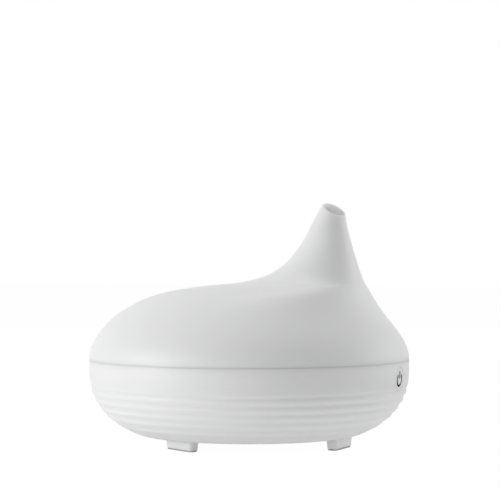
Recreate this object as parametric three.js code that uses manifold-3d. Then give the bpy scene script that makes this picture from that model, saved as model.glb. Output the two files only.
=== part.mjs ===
// A small ultrasonic cool mist humidifier: a round body with a lift-off cover drawn up into an
// off-centre spout, and a base that holds the water tank, the fan and the electronics.
// Millimetres, +Z up. The origin is on the surface that it stands on, under the body's axis.
// The front, with the spout and the power button, faces -Y, and the power inlet faces +Y.
import * as THREE from "three";
import { mergeVertices } from "three/addons/utils/BufferGeometryUtils.js";
import Module from "manifold-3d";

const wasm = await Module();
wasm.setup();

// ---------------------------------------------------------------- driving dimensions
const BODY_R = 84; // the widest radius of the round body
const BODY_FACETS = 36;
const ROUND_FACETS = 20;
const SMALL_FACETS = 14;
const SCREW_FACETS = 8;
const GAP = 0.3; // clearance between pieces that meet
const WALL = 2.4;

const FLOOR_Z = 5.6; // underside of the base
const WIDEST_Z = 41.6;
const SEAM_Z = 45.2; // top edge of the base, where the cover starts
const BASE_DEPTH = 41.9; // how far below its widest line the base's curve would close
const FLOOR_EASE = 0.5; // how softly that curve turns into the flat underside

const RIPPLE_PITCH = 4.34;
const RIPPLE_HEIGHT = 0.38;
const RIPPLE_TOP_Z = 28.4; // crest of the highest full ripple
const RIPPLE_FADE = 3.2; // the ripples die out over this height, at both ends
const RIPPLE_LOW_Z = 10.5;

// The cover's two side lines from the seam to the mouth, seen from the side as [y, z].
const COVER_Z = SEAM_Z + 0.4;
const COVER_FRONT = [
  [-BODY_R, COVER_Z],
  [-80.8, 56],
  [-72.7, 67],
  [-65.1, 79],
  [-60.7, 92],
  [-56.6, 107],
  [-54.2, 124.2],
];
const COVER_BACK = [
  [BODY_R, COVER_Z],
  [80, 57.5],
  [65, 71.5],
  [46, 79.6],
  [28, 83],
  [11, 85.1],
  [-4, 86.1],
  [-17, 91.4],
  [-30.9, 106],
  [-42, 124.2],
];
const COVER_WALL = 2.2;
const MOUTH_WALL = 1.5;
const MOUTH_TILT = THREE.MathUtils.degToRad(27); // the mouth looks forward by this much
const MOUTH_TURN = THREE.MathUtils.degToRad(-14); // and a little towards -X
const TILT_START_Z = 106;

const FEET_FORWARD = 4; // the three feet stand round a point this far ahead of the axis
const FEET_CENTRE_Y = -FEET_FORWARD;
const FOOT_OUTER_R = 50;
const FOOT_DEPTH = 6.2;
const FOOT_WIDTH = 23;
const FOOT_MIDDLE_R = FOOT_OUTER_R - FOOT_DEPTH / 2;
const PAD_TOP_Z = 0.6;
const FOOT_BOTTOM_Z = PAD_TOP_Z + GAP;
const FOOT_ANGLES = { front: -90, rear_right: 30, rear_left: 150 };

const HATCH_R = 42.2; // the round bottom cover
const HATCH_Z = 4.7; // its underside, a little below the base's
const HATCH_TOP_Z = 6.9;
const LEDGE_TOP_Z = 9.5; // the ring inside the base that the bottom cover is screwed to
const LEDGE_INNER_R = 38.6;
const HATCH_SCREW_R = 40.4;

const TANK_WALL_R = 67; // outside of the bowl
const TANK_FLOOR_Z = 29; // top of the bowl's floor
const TANK_UNDER_Z = 27;
const FLANGE_Z = 43.3;
const COLLAR_TOP_Z = 49.5;

const FAN_Y = 16;
const FAN_SIZE = 30;
const FAN_Z = 9.7;
const FAN_HEIGHT = 10;
const FAN_BORE_R = 14;
const FAN_HOLE = 12; // fixing holes, out from the fan's centre each way
const CHIMNEY_BORE_R = 7.5;
const CHIMNEY_R = CHIMNEY_BORE_R + 2;
const CHIMNEY_TOP_Z = 54;

const DISC_Y = -20; // the transducer
const BOARD = { x: 25, back: -7, front: -33, z: 10.2, thick: 1.6 };
const BOARD_TOP_Z = BOARD.z + BOARD.thick;

const BUTTON_Z = 37;
const BUTTON_R = 5.75;
const JACK_Z = 20.5;

// ---------------------------------------------------------------- materials
const finish = (color, roughness, metalness = 0) =>
  new THREE.MeshStandardMaterial({ color, roughness, metalness });
const SATIN_WHITE = finish(0xf1f1f0, 0.45);
const INNER_WHITE = finish(0xe9eaea, 0.55);
const DARK_RUBBER = finish(0x55575a, 0.9);
const CLEAR_RUBBER = finish(0xc9ccce, 0.8);
const FAN_BLACK = finish(0x1e1f21, 0.6);
const BOARD_GREEN = finish(0x1f5b3a, 0.5);
const CHIP_BLACK = finish(0x202224, 0.55);
const STEEL = finish(0xb9bcc0, 0.35, 1);
const SILVERED = finish(0xd7d8d6, 0.3, 0.8);
const LEAD_BLACK = finish(0x26282b, 0.6);

// ---------------------------------------------------------------- solids
// A closed geometry as a manifold-3d solid, with its faces turned outwards.
function solid(geometry) {
  const bare = geometry.clone();
  bare.deleteAttribute("normal");
  bare.deleteAttribute("uv");
  const merged = mergeVertices(bare, 1e-4);
  const at = merged.getAttribute("position").array;
  const faces = [];
  const index = merged.index.array;
  for (let i = 0; i < index.length; i += 3) {
    const [a, b, c] = [index[i], index[i + 1], index[i + 2]];
    if (a !== b && b !== c && c !== a) faces.push(a, b, c);
  }
  let volume = 0;
  const [p, q, r] = [0, 1, 2].map(() => new THREE.Vector3());
  for (let i = 0; i < faces.length; i += 3) {
    p.fromArray(at, faces[i] * 3);
    q.fromArray(at, faces[i + 1] * 3);
    r.fromArray(at, faces[i + 2] * 3);
    volume += p.dot(q.cross(r));
  }
  if (volume < 0) faces.reverse();
  return new wasm.Manifold(
    new wasm.Mesh({
      numProp: 3,
      vertProperties: new Float32Array(at),
      triVerts: new Uint32Array(faces),
    }),
  );
}

function geometryOf(body) {
  const mesh = body.getMesh();
  const geometry = new THREE.BufferGeometry();
  const count = mesh.numVert;
  const at = new Float32Array(count * 3);
  for (let i = 0; i < count; i++) {
    at.set(mesh.vertProperties.subarray(i * mesh.numProp, i * mesh.numProp + 3), i * 3);
  }
  geometry.setAttribute("position", new THREE.BufferAttribute(at, 3));
  geometry.setIndex(new THREE.BufferAttribute(new Uint32Array(mesh.triVerts), 1));
  geometry.computeVertexNormals();
  return geometry;
}

const joined = (first, ...others) => others.reduce((sum, one) => sum.add(one), first);
const cut = (first, ...others) => others.reduce((rest, one) => rest.subtract(one), first);

// A solid of revolution about Z from [radius, height] points that start and end on the axis, or
// close on themselves.
function turned(points, facets = BODY_FACETS, x = 0, y = 0) {
  const profile = points.map(([r, z]) => new THREE.Vector2(r, z));
  const geometry = new THREE.LatheGeometry(profile, facets);
  return solid(geometry.rotateX(Math.PI / 2).translate(x, y, 0));
}

const ring = (inner, outer, low, high, facets, x, y) =>
  turned(
    [[inner, low], [outer, low], [outer, high], [inner, high], [inner, low]],
    facets,
    x,
    y,
  );

const rod = (r, low, high, x = 0, y = 0, facets = SMALL_FACETS) =>
  turned([[0, low], [r, low], [r, high], [0, high]], facets, x, y);

// A rod that lies along Y.
function rodAlongY(r, from, to, x, z, facets = SMALL_FACETS) {
  const geometry = new THREE.CylinderGeometry(r, r, to - from, facets);
  return solid(geometry.translate(x, (from + to) / 2, z));
}

function block(x0, x1, y0, y1, z0, z1) {
  const geometry = new THREE.BoxGeometry(x1 - x0, y1 - y0, z1 - z0);
  return solid(geometry.translate((x0 + x1) / 2, (y0 + y1) / 2, (z0 + z1) / 2));
}

function roundedOutline(width, depth, corner) {
  const [x, y] = [width / 2, depth / 2];
  const shape = new THREE.Shape();
  shape.moveTo(-x + corner, -y);
  shape.lineTo(x - corner, -y);
  shape.absarc(x - corner, -y + corner, corner, -Math.PI / 2, 0);
  shape.lineTo(x, y - corner);
  shape.absarc(x - corner, y - corner, corner, 0, Math.PI / 2);
  shape.lineTo(-x + corner, y);
  shape.absarc(-x + corner, y - corner, corner, Math.PI / 2, Math.PI);
  shape.lineTo(-x, -y + corner);
  shape.absarc(-x + corner, -y + corner, corner, Math.PI, 1.5 * Math.PI);
  return shape;
}

const raised = (shape, low, high, curveSegments = 4) =>
  new THREE.ExtrudeGeometry(shape, {
    depth: high - low,
    bevelEnabled: false,
    curveSegments,
  }).translate(0, 0, low);

// A wire of round section along a smooth line through the points.
function lead(points, r = 1, steps = 12) {
  const path = new THREE.CatmullRomCurve3(points.map((p) => new THREE.Vector3(...p)));
  const section = new THREE.Shape().absarc(0, 0, r, 0, 2 * Math.PI);
  return solid(
    new THREE.ExtrudeGeometry(section, { extrudePath: path, steps, curveSegments: 4 }),
  );
}

// A pan-head screw that stands up or hangs down: its head's outer face is at z.
function screw(x, y, z, length, up, headR = 2, headHeight = 1.3, shankR = 1) {
  const sign = up ? 1 : -1;
  return turned(
    [
      [0, z],
      [headR, z],
      [headR, z + sign * headHeight],
      [shankR, z + sign * headHeight],
      [shankR, z + sign * length],
      [0, z + sign * length],
    ],
    SCREW_FACETS,
    x,
    y,
  );
}

const group = new THREE.Group();
function piece(name, shape, material) {
  const geometry = shape.isBufferGeometry ? shape : geometryOf(shape);
  const mesh = new THREE.Mesh(geometry, material);
  mesh.name = name;
  group.add(mesh);
  return mesh;
}

const polar = (r, degrees, y = 0) => {
  const angle = THREE.MathUtils.degToRad(degrees);
  return [r * Math.cos(angle), y + r * Math.sin(angle)];
};

// ---------------------------------------------------------------- outline of the base
// The base's section is a superellipse, upright at the seam, that turns softly into a flat floor.
function baseRadius(z) {
  const drop = Math.max(0, WIDEST_Z - z) / BASE_DEPTH;
  return BODY_R * Math.cbrt(1 - Math.pow(drop, 2.38));
}

const easedHeight = (z) => FLOOR_Z + FLOOR_EASE * Math.log1p(Math.exp((z - FLOOR_Z) / FLOOR_EASE));

function ripple(z) {
  const rise = THREE.MathUtils.smoothstep(z, RIPPLE_LOW_Z - RIPPLE_FADE, RIPPLE_LOW_Z);
  const fall = THREE.MathUtils.smoothstep(RIPPLE_TOP_Z + 5 - z, 0, RIPPLE_FADE);
  const wave = Math.cos((2 * Math.PI * (z - RIPPLE_TOP_Z)) / RIPPLE_PITCH);
  return RIPPLE_HEIGHT * wave * rise * fall;
}

const BELLY_HEIGHTS = [3.2, 4.4, 5.3, 6.4, 7.6];
const RIPPLE_ROWS = 12;
const RIPPLE_HEIGHTS = Array.from(
  { length: RIPPLE_ROWS },
  (_, row) => RIPPLE_TOP_Z + (row - RIPPLE_ROWS + 3) * (RIPPLE_PITCH / 2),
);
const UPPER_HEIGHTS = [36.5, WIDEST_Z, SEAM_Z];

// The base's outline from the floor up, moved in or out by some amount.
function baseOutline(outwards = 0) {
  const heights = [...BELLY_HEIGHTS, ...RIPPLE_HEIGHTS, ...UPPER_HEIGHTS];
  const points = heights.map((z) => [baseRadius(z) + ripple(z) + outwards, easedHeight(z)]);
  points[0][1] = FLOOR_Z;
  return points;
}

const INNER_HEIGHTS = [36.5, 27, 18, 12, 8.2];

// ---------------------------------------------------------------- base shell and bottom cover
const LEDGE_R = 50.5;
const SEAT = { low: 41.0, high: 43.0, inner: 78.5 }; // the ledge that the tank's flange sits on

const footPlaces = Object.entries(FOOT_ANGLES).map(([name, angle]) => ({
  name,
  angle,
  at: polar(FOOT_MIDDLE_R, angle, FEET_CENTRE_Y),
}));
const hatchScrews = [45, 135, 225, 315].map((a) => polar(HATCH_SCREW_R, a, FEET_CENTRE_Y));
const SWITCH_BOSSES = [-7.7, 7.7];
const SWITCH_BOSS_Z = 31.4;

function baseShell() {
  const inside = INNER_HEIGHTS.map((z) => [baseRadius(z) - WALL, z]);
  const cup = turned([
    [0, FLOOR_Z],
    ...baseOutline(),
    [BODY_R - WALL, SEAM_Z],
    [BODY_R - WALL, SEAT.high],
    [SEAT.inner, SEAT.high],
    [SEAT.inner, SEAT.low],
    [BODY_R - WALL, SEAT.low - 2.6],
    ...inside,
    [52, FLOOR_Z + WALL],
    [0, FLOOR_Z + WALL],
  ]);
  const limit = turned([[0, FLOOR_Z + 0.2], ...baseOutline(-1).slice(2, -1), [0, WIDEST_Z]]);
  const ledge = rod(LEDGE_R, 6, LEDGE_TOP_Z, 0, FEET_CENTRE_Y, BODY_FACETS);
  const jackRibs = [-1, 1].map((side) => {
    const [a, b] = [side * 4.9, side * 6.4];
    return block(Math.min(a, b), Math.max(a, b), 61, 76, 6, JACK_Z + 1.5).intersect(limit);
  });
  const switchPosts = SWITCH_BOSSES.map((x) =>
    rodAlongY(1.9, -83, -72.8, x, SWITCH_BOSS_Z, 12).intersect(limit),
  );
  return cut(
    joined(cup, ledge, ...jackRibs, ...switchPosts),
    rod(HATCH_R + 0.4, 3, HATCH_TOP_Z + GAP, 0, FEET_CENTRE_Y, BODY_FACETS),
    rod(LEDGE_INNER_R, 3, 12, 0, FEET_CENTRE_Y, BODY_FACETS),
    ...footPlaces.map(({ at }) => rod(1.3, 3, 12, ...at, 12)),
    ...hatchScrews.map((at) => rod(1.2, 6, 12, ...at, 12)),
    ...SWITCH_BOSSES.map((x) => rodAlongY(0.9, -78, -72, x, SWITCH_BOSS_Z, 8)),
    rodAlongY(BUTTON_R + GAP, -90, -75, 0, BUTTON_Z, 24),
    rodAlongY(7.3, -81, -75, 0, BUTTON_Z, 24),
    block(-7.3, 7.3, -81, -75, BUTTON_Z, SEAT.high + 0.1),
    rodAlongY(5.0, 66, 90, 0, JACK_Z, 24),
  );
}

const boardScrews = [-20.5, 20.5].map((x) => [x, -20]);
const fanScrews = [
  [FAN_HOLE, FAN_Y + FAN_HOLE],
  [-FAN_HOLE, FAN_Y - FAN_HOLE],
];
const SLOT_HALF_WIDTH = 1.1;
const SLOT_STEP = 4.2;
const GRILLE_R = 13;

function bottomCover() {
  const plate = rod(HATCH_R, HATCH_Z, HATCH_TOP_Z, 0, FEET_CENTRE_Y, BODY_FACETS);
  const fanPosts = [-1, 1].flatMap((sx) =>
    [-1, 1].map((sy) =>
      rod(2.4, 6, FAN_Z - GAP, sx * FAN_HOLE, FAN_Y + sy * FAN_HOLE, 12),
    ),
  );
  const boardPosts = boardScrews.map(([x, y]) => rod(2.4, 6, BOARD.z - GAP, x, y, 12));
  const slots = [-3, -2, -1, 0, 1, 2, 3].map((row) => {
    const y = row * SLOT_STEP;
    const half = Math.sqrt(GRILLE_R ** 2 - y ** 2);
    const outline = roundedOutline(2 * half, 2 * SLOT_HALF_WIDTH, SLOT_HALF_WIDTH - 0.01);
    return solid(raised(outline, 3, 8, 2).translate(0, FAN_Y + y, 0));
  });
  return cut(
    joined(plate, ...fanPosts, ...boardPosts),
    ...slots,
    ...hatchScrews.map((at) => rod(1.3, 3, 8, ...at, 12)),
    ...hatchScrews.map((at) => rod(2.3, 3, HATCH_Z + 1.3, ...at, 12)),
    ...boardScrews.map((at) => rod(1.2, 7.4, 12, ...at, 8)),
    ...fanScrews.map((at) => rod(1.2, 7.4, 12, ...at, 8)),
  );
}

piece("base_shell", baseShell(), SATIN_WHITE);
piece("bottom_cover", bottomCover(), SATIN_WHITE);
hatchScrews.forEach(([x, y], i) => {
  piece(`cover_screw_${i + 1}`, screw(x, y, HATCH_Z + 0.05, 4.6, true, 1.9, 1.0, 0.9), STEEL);
});

// ---------------------------------------------------------------- feet
const footTrim = turned([
  [0, FLOOR_Z - GAP],
  ...baseOutline(GAP).slice(0, 7).map(([r, z]) => [r, z - GAP]),
  [baseRadius(12), 30],
  [0, 30],
]);

footPlaces.forEach(({ name, angle, at }) => {
  const turn = THREE.MathUtils.degToRad(angle + 90);
  const place = (geometry) => solid(geometry.rotateZ(turn).translate(...at, 0));
  const outline = roundedOutline(FOOT_WIDTH, FOOT_DEPTH, 2);
  const foot = cut(
    place(raised(outline, FOOT_BOTTOM_Z, 9)),
    footTrim,
    rod(2.2, 0, FOOT_BOTTOM_Z + 1.8, ...at, 12),
    rod(1.3, 0, 12, ...at, 12),
  );
  const padOutline = roundedOutline(FOOT_WIDTH - 0.8, FOOT_DEPTH - 0.8, 1.7);
  piece(`foot_${name}`, foot, SATIN_WHITE);
  piece(`foot_pad_${name}`, place(raised(padOutline, 0, PAD_TOP_Z)), DARK_RUBBER);
  piece(`foot_screw_${name}`, screw(...at, FOOT_BOTTOM_Z + 0.1, 15, true, 1.9, 1.3, 0.95), STEEL);
});

// ---------------------------------------------------------------- water tank and air path
const TRANSDUCER_HOLE_R = 9;
const clampScrews = [90, 210, 330].map((a) => polar(14.2, a, DISC_Y));

function waterTank() {
  const bowl = turned([
    [0, TANK_UNDER_Z],
    [TANK_WALL_R - 10, TANK_UNDER_Z],
    [TANK_WALL_R - 4.5, 28.3],
    [TANK_WALL_R - 1, 31.5],
    [TANK_WALL_R, 36],
    [TANK_WALL_R, FLANGE_Z],
    [81.2, FLANGE_Z],
    [81.2, FLANGE_Z + 1.6],
    [80.3, FLANGE_Z + 1.6],
    [80.3, COLLAR_TOP_Z],
    [78.9, COLLAR_TOP_Z],
    [78.9, FLANGE_Z + 1.6],
    [TANK_WALL_R - 2, FLANGE_Z + 1.6],
    [TANK_WALL_R - 2, 36.4],
    [TANK_WALL_R - 3, 32.5],
    [TANK_WALL_R - 6, 30],
    [TANK_WALL_R - 10.5, TANK_FLOOR_Z],
    [0, TANK_FLOOR_Z],
  ]);
  const chimney = rod(CHIMNEY_R, TANK_FLOOR_Z - 1, CHIMNEY_TOP_Z, 0, FAN_Y, ROUND_FACETS);
  const posts = footPlaces.map(({ at }) =>
    rod(3.4, LEDGE_TOP_Z + GAP, TANK_FLOOR_Z - 1, ...at, 16),
  );
  const clampPosts = clampScrews.map((at) => rod(2, 23.6, TANK_FLOOR_Z - 1, ...at, 12));
  return cut(
    joined(bowl, chimney, ...posts, ...clampPosts),
    rod(CHIMNEY_BORE_R, 20, 60, 0, FAN_Y, ROUND_FACETS),
    rod(TRANSDUCER_HOLE_R, 20, 32, 0, DISC_Y, ROUND_FACETS),
    ...footPlaces.map(({ at }) => rod(1.25, 5, 18, ...at, 12)),
    ...clampScrews.map((at) => rod(1.05, 20, 26.6, ...at, 8)),
  );
}

function chimneyCap() {
  const roof = turned(
    [[0, 57.4], [12.2, 57.4], [12.2, 58.4], [6, 60.2], [0, 60.6]],
    ROUND_FACETS,
    0,
    FAN_Y,
  );
  const legs = [90, 210, 330].map((a) => {
    const [x, y] = polar(CHIMNEY_R + GAP + 1, a, FAN_Y); // the legs grip the chimney from outside
    return rod(0.9, 48, 58, x, y, 8);
  });
  return joined(roof, ...legs);
}

piece("water_tank", waterTank(), INNER_WHITE);
piece("chimney_cap", chimneyCap(), INNER_WHITE);
piece("transducer_disc", rod(10.3, 24.9, 25.8, 0, DISC_Y, ROUND_FACETS), SILVERED);
piece(
  "transducer_seal",
  turned(
    [
      [8.3, 26.7],
      [11.9, 26.7],
      [11.9, 23.6],
      [8.3, 23.6],
      [8.3, 24.6],
      [10.6, 24.6],
      [10.6, 26.1],
      [8.3, 26.1],
      [8.3, 26.7],
    ],
    ROUND_FACETS,
    0,
    DISC_Y,
  ),
  CLEAR_RUBBER,
);
piece(
  "transducer_clamp",
  cut(
    ring(8, 16.5, 21.8, 23.3, ROUND_FACETS, 0, DISC_Y),
    ...clampScrews.map((at) => rod(1.3, 20, 25, ...at, 12)),
  ),
  STEEL,
);
clampScrews.forEach(([x, y], i) => {
  piece(`clamp_screw_${i + 1}`, screw(x, y, 20.4, 5.8, true, 1.8, 1.1, 0.75), STEEL);
});

// ---------------------------------------------------------------- fan
const ROTOR = { hub: 8, tip: 13.3, low: FAN_Z + 2, high: FAN_Z + 9.4, blades: 7 };

function fanFrame() {
  const outline = roundedOutline(FAN_SIZE, FAN_SIZE, 2);
  const body = cut(
    solid(raised(outline, FAN_Z, FAN_Z + FAN_HEIGHT).translate(0, FAN_Y, 0)),
    rod(FAN_BORE_R, 5, 25, 0, FAN_Y, ROUND_FACETS),
  );
  const motorSeat = rod(7.6, FAN_Z, FAN_Z + 1.5, 0, FAN_Y, ROUND_FACETS);
  const struts = [
    block(-14.5, 14.5, FAN_Y - 1, FAN_Y + 1, FAN_Z, FAN_Z + 1.2),
    block(-1, 1, FAN_Y - 14.5, FAN_Y + 14.5, FAN_Z, FAN_Z + 1.2),
  ];
  const holes = [-1, 1].flatMap((sx) =>
    [-1, 1].map((sy) => rod(1.4, 5, 25, sx * FAN_HOLE, FAN_Y + sy * FAN_HOLE, 12)),
  );
  return cut(joined(body, motorSeat, ...struts), ...holes);
}

function fanRotor() {
  const hub = rod(ROTOR.hub, ROTOR.low, ROTOR.high, 0, FAN_Y, ROUND_FACETS);
  const blades = Array.from({ length: ROTOR.blades }, (_, i) => {
    const blade = new THREE.BoxGeometry(ROTOR.tip - ROTOR.hub + 1.5, 0.8, 6.6, 2, 1, 3);
    const at = blade.getAttribute("position");
    for (let v = 0; v < at.count; v++) {
      const twist = 0.42 * at.getZ(v) + 0.04 * at.getZ(v) ** 2;
      at.setY(v, at.getY(v) + twist);
    }
    blade.translate((ROTOR.tip + ROTOR.hub - 1.5) / 2, 0, (ROTOR.low + ROTOR.high) / 2);
    blade.rotateZ((2 * Math.PI * i) / ROTOR.blades);
    return solid(blade.translate(0, FAN_Y, 0));
  });
  const sweep = rod(ROTOR.tip, ROTOR.low, ROTOR.high, 0, FAN_Y, ROUND_FACETS);
  return joined(hub, ...blades).intersect(sweep);
}

function fanHood() {
  const low = FAN_Z + FAN_HEIGHT + GAP;
  return turned(
    [
      [13.2, low],
      [14.4, low],
      [14.4, 24.6],
      [10, 26.7],
      [CHIMNEY_BORE_R, 26.7],
      [CHIMNEY_BORE_R, 25.2],
      [13.2, 23.8],
      [13.2, low],
    ],
    ROUND_FACETS,
    0,
    FAN_Y,
  );
}

piece("fan_frame", fanFrame(), FAN_BLACK);
piece("fan_rotor", fanRotor(), FAN_BLACK);
piece("fan_hood", fanHood(), INNER_WHITE);
fanScrews.forEach(([x, y], i) => {
  const top = FAN_Z + FAN_HEIGHT + GAP + 1.2;
  piece(`fan_screw_${i + 1}`, screw(x, y, top, 12.8, false, 1.9, 1.2, 0.9), STEEL);
});

// ---------------------------------------------------------------- main board
function mainBoard() {
  const plate = block(
    -BOARD.x,
    BOARD.x,
    BOARD.front,
    BOARD.back,
    BOARD.z,
    BOARD_TOP_Z,
  );
  return cut(plate, ...boardScrews.map((at) => rod(1.3, 8, 14, ...at, 12)));
}

const ON_BOARD_Z = BOARD_TOP_Z + GAP;

// A socket with a slot in its top for the plug.
function socket(x, y, width) {
  const [half, deep] = [width / 2, 2.4];
  return cut(
    block(x - half, x + half, y - deep, y + deep, ON_BOARD_Z, ON_BOARD_Z + 5.5),
    block(x - half + 0.8, x + half - 0.8, y - deep + 0.8, y + deep - 0.8, 13.6, 20),
  );
}

function heatSink() {
  const plate = block(10, 20, -31.6, -30, ON_BOARD_Z, ON_BOARD_Z + 7);
  const fins = [0, 1, 2, 3].map((i) => {
    const x = 10 + i * 3;
    return block(x, x + 1, -31, -27.6, ON_BOARD_Z, ON_BOARD_Z + 7);
  });
  return joined(plate, ...fins);
}

piece("main_board", mainBoard(), BOARD_GREEN);
boardScrews.forEach(([x, y], i) => {
  piece(
    `board_screw_${i + 1}`,
    screw(x, y, ON_BOARD_Z + 1.2, 5.6, false, 1.9, 1.2, 0.9),
    STEEL,
  );
});
piece(
  "inductor",
  joined(
    rod(4.6, ON_BOARD_Z, ON_BOARD_Z + 1, -16, -28, 16),
    rod(3.2, ON_BOARD_Z, ON_BOARD_Z + 6, -16, -28, 16),
    rod(4.6, ON_BOARD_Z + 5, ON_BOARD_Z + 6, -16, -28, 16),
  ),
  CHIP_BLACK,
);
[-3.8, 3.8].forEach((x, i) => {
  piece(`capacitor_${i + 1}`, rod(3.15, ON_BOARD_Z, ON_BOARD_Z + 6.6, x, -11, 20), SILVERED);
});
piece("transistor", block(11, 18.6, -26.6, -24.6, ON_BOARD_Z, ON_BOARD_Z + 6.4), CHIP_BLACK);
piece("heat_sink", heatSink(), SILVERED);
piece("control_chip", block(-5, 5, -23, -19, ON_BOARD_Z, ON_BOARD_Z + 1.5), CHIP_BLACK);
piece("fan_socket", socket(-15, -10.5, 8), INNER_WHITE);
piece("disc_socket", socket(-2.5, -29.6, 6), INNER_WHITE);
piece("power_socket", socket(15, -10.5, 8), INNER_WHITE);

// ---------------------------------------------------------------- power inlet
function dcJack() {
  const body = block(-4.5, 4.5, 60, 71, JACK_Z - 4.5, JACK_Z + 4.5);
  const nose = rodAlongY(4.4, 70, 77.2, 0, JACK_Z, 24);
  const bore = rodAlongY(3.2, 66, 80, 0, JACK_Z, 24);
  const pin = rodAlongY(0.9, 65, 73.4, 0, JACK_Z, 12);
  return cut(joined(body, nose), bore).add(pin);
}
piece("dc_jack", dcJack(), CHIP_BLACK);

// ---------------------------------------------------------------- power button and its switch
const SWITCH = { front: -76.3, back: -72.8, half: 3 };
const PLUNGER = { front: -77, back: -74.6, r: 1.75 };
const SWITCH_BOARD = { front: -72.5, back: -71.1, half: 10.2, low: 28.9, high: 42.6 };

function powerButton() {
  const flush = turned([
    [0, 20],
    ...[26, 30, 34, 38, WIDEST_Z].map((z) => [baseRadius(z) - 0.05, z]),
    [BODY_R - 0.05, 50],
    [0, 50],
  ], 96);
  const belowTank = block(-8, 8, -82, -78, 25, FLANGE_Z - 0.7);
  const cap = rodAlongY(BUTTON_R, -86, -79.8, 0, BUTTON_Z, 24).intersect(flush);
  return joined(
    cap,
    rodAlongY(6.9, -80.7, -79.5, 0, BUTTON_Z, 24).intersect(belowTank),
    rodAlongY(1.6, -80, PLUNGER.front - GAP, 0, BUTTON_Z, 12),
  );
}

piece("power_button", powerButton(), SATIN_WHITE);
piece(
  "switch_plunger",
  rodAlongY(PLUNGER.r, PLUNGER.front, PLUNGER.back, 0, BUTTON_Z, 16),
  CHIP_BLACK,
);
piece(
  "tact_switch",
  cut(
    block(
      -SWITCH.half,
      SWITCH.half,
      SWITCH.front,
      SWITCH.back,
      BUTTON_Z - SWITCH.half,
      BUTTON_Z + SWITCH.half,
    ),
    rodAlongY(PLUNGER.r + 0.35, -80, -73.8, 0, BUTTON_Z, 16),
  ),
  STEEL,
);
piece(
  "switch_board",
  cut(
    block(
      -SWITCH_BOARD.half,
      SWITCH_BOARD.half,
      SWITCH_BOARD.front,
      SWITCH_BOARD.back,
      SWITCH_BOARD.low,
      SWITCH_BOARD.high,
    ),
    ...SWITCH_BOSSES.map((x) => rodAlongY(1.2, -75, -70, x, SWITCH_BOSS_Z, 12)),
  ),
  BOARD_GREEN,
);
SWITCH_BOSSES.forEach((x, i) => {
  const head = rodAlongY(1.5, -70.8, -69.9, x, SWITCH_BOSS_Z, 12);
  const shank = rodAlongY(0.6, -76.5, -70.4, x, SWITCH_BOSS_Z, 8);
  piece(`switch_screw_${i + 1}`, joined(head, shank), STEEL);
});

// ---------------------------------------------------------------- leads
const leads = {
  fan_lead: [[-16.4, 8, 15], [-18.4, 3, 18], [-17, -7, 21.4], [-15, -10.5, 18]],
  disc_lead: [[-1, -20, 24.2], [-1, -20.6, 21.4], [-2, -27, 21], [-2.5, -29.6, 18]],
  power_lead: [
    [0, 58.6, 20],
    [3, 55, 18],
    [22, 40, 12],
    [27, 14, 12],
    [20, -5, 21],
    [15, -10.5, 18],
  ],
  switch_lead: [[3.5, -69.5, 31], [4.5, -67, 22], [7, -58, 15], [7, -44, 12], [6, -34.6, 11]],
};
Object.entries(leads).forEach(([name, points]) => {
  piece(name, lead(points), LEAD_BLACK);
});

// ---------------------------------------------------------------- lift-off cover
// Each level circle spans from the front line to the back line.
const sideLine = (points) => new THREE.SplineCurve(points.map((p) => new THREE.Vector2(...p)));
const coverBack = sideLine(COVER_BACK);
const frontPoints = sideLine(COVER_FRONT).getPoints(120);
const COVER_TOP_Z = COVER_BACK.at(-1)[1];

function coverFrontY(z) {
  const i = Math.max(1, frontPoints.findIndex((p) => p.y >= z - 1e-9));
  const [low, high] = [frontPoints[i - 1], frontPoints[i]];
  return THREE.MathUtils.mapLinear(z, low.y, high.y, low.x, high.x);
}

// A point on the cover's outside: along runs from the seam to the mouth, around is an angle.
function coverPoint(along, around) {
  const { x: back, y: z } = coverBack.getPoint(along);
  const front = coverFrontY(z);
  const [r, lean] = [(back - front) / 2, -(back + front) / 2];
  const tilt = MOUTH_TILT * THREE.MathUtils.smoothstep(z, TILT_START_Z, COVER_TOP_Z);
  const across = r * Math.cos(around - MOUTH_TURN);
  const reach = r * Math.sin(around - MOUTH_TURN);
  const [cos, sin] = [Math.cos(MOUTH_TURN), Math.sin(MOUTH_TURN)];
  return new THREE.Vector3(
    across * cos - reach * Math.cos(tilt) * sin,
    across * sin + reach * Math.cos(tilt) * cos - lean,
    z + reach * Math.sin(tilt),
  );
}

function coverNormal(along, around) {
  const step = 1e-3;
  const [low, high] = [Math.max(0, along - step), Math.min(1, along + step)];
  const up = coverPoint(high, around).sub(coverPoint(low, around));
  const side = coverPoint(along, around + step).sub(coverPoint(along, around - step));
  return side.cross(up).normalize();
}

// Rings of points, each joined to the next and the last to the first, as one closed skin.
function closedSkin(rings) {
  const [rows, columns] = [rings.length, rings[0].length];
  const positions = rings.flat().flatMap((p) => p.toArray());
  const index = [];
  for (let row = 0; row < rows; row++) {
    for (let column = 0; column < columns; column++) {
      const [next, above] = [(column + 1) % columns, (row + 1) % rows];
      const [a, b] = [row * columns + column, row * columns + next];
      const [c, d] = [above * columns + next, above * columns + column];
      index.push(a, b, c, a, c, d);
    }
  }
  const geometry = new THREE.BufferGeometry();
  geometry.setAttribute("position", new THREE.Float32BufferAttribute(positions, 3));
  return solid(geometry.setIndex(index));
}

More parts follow.
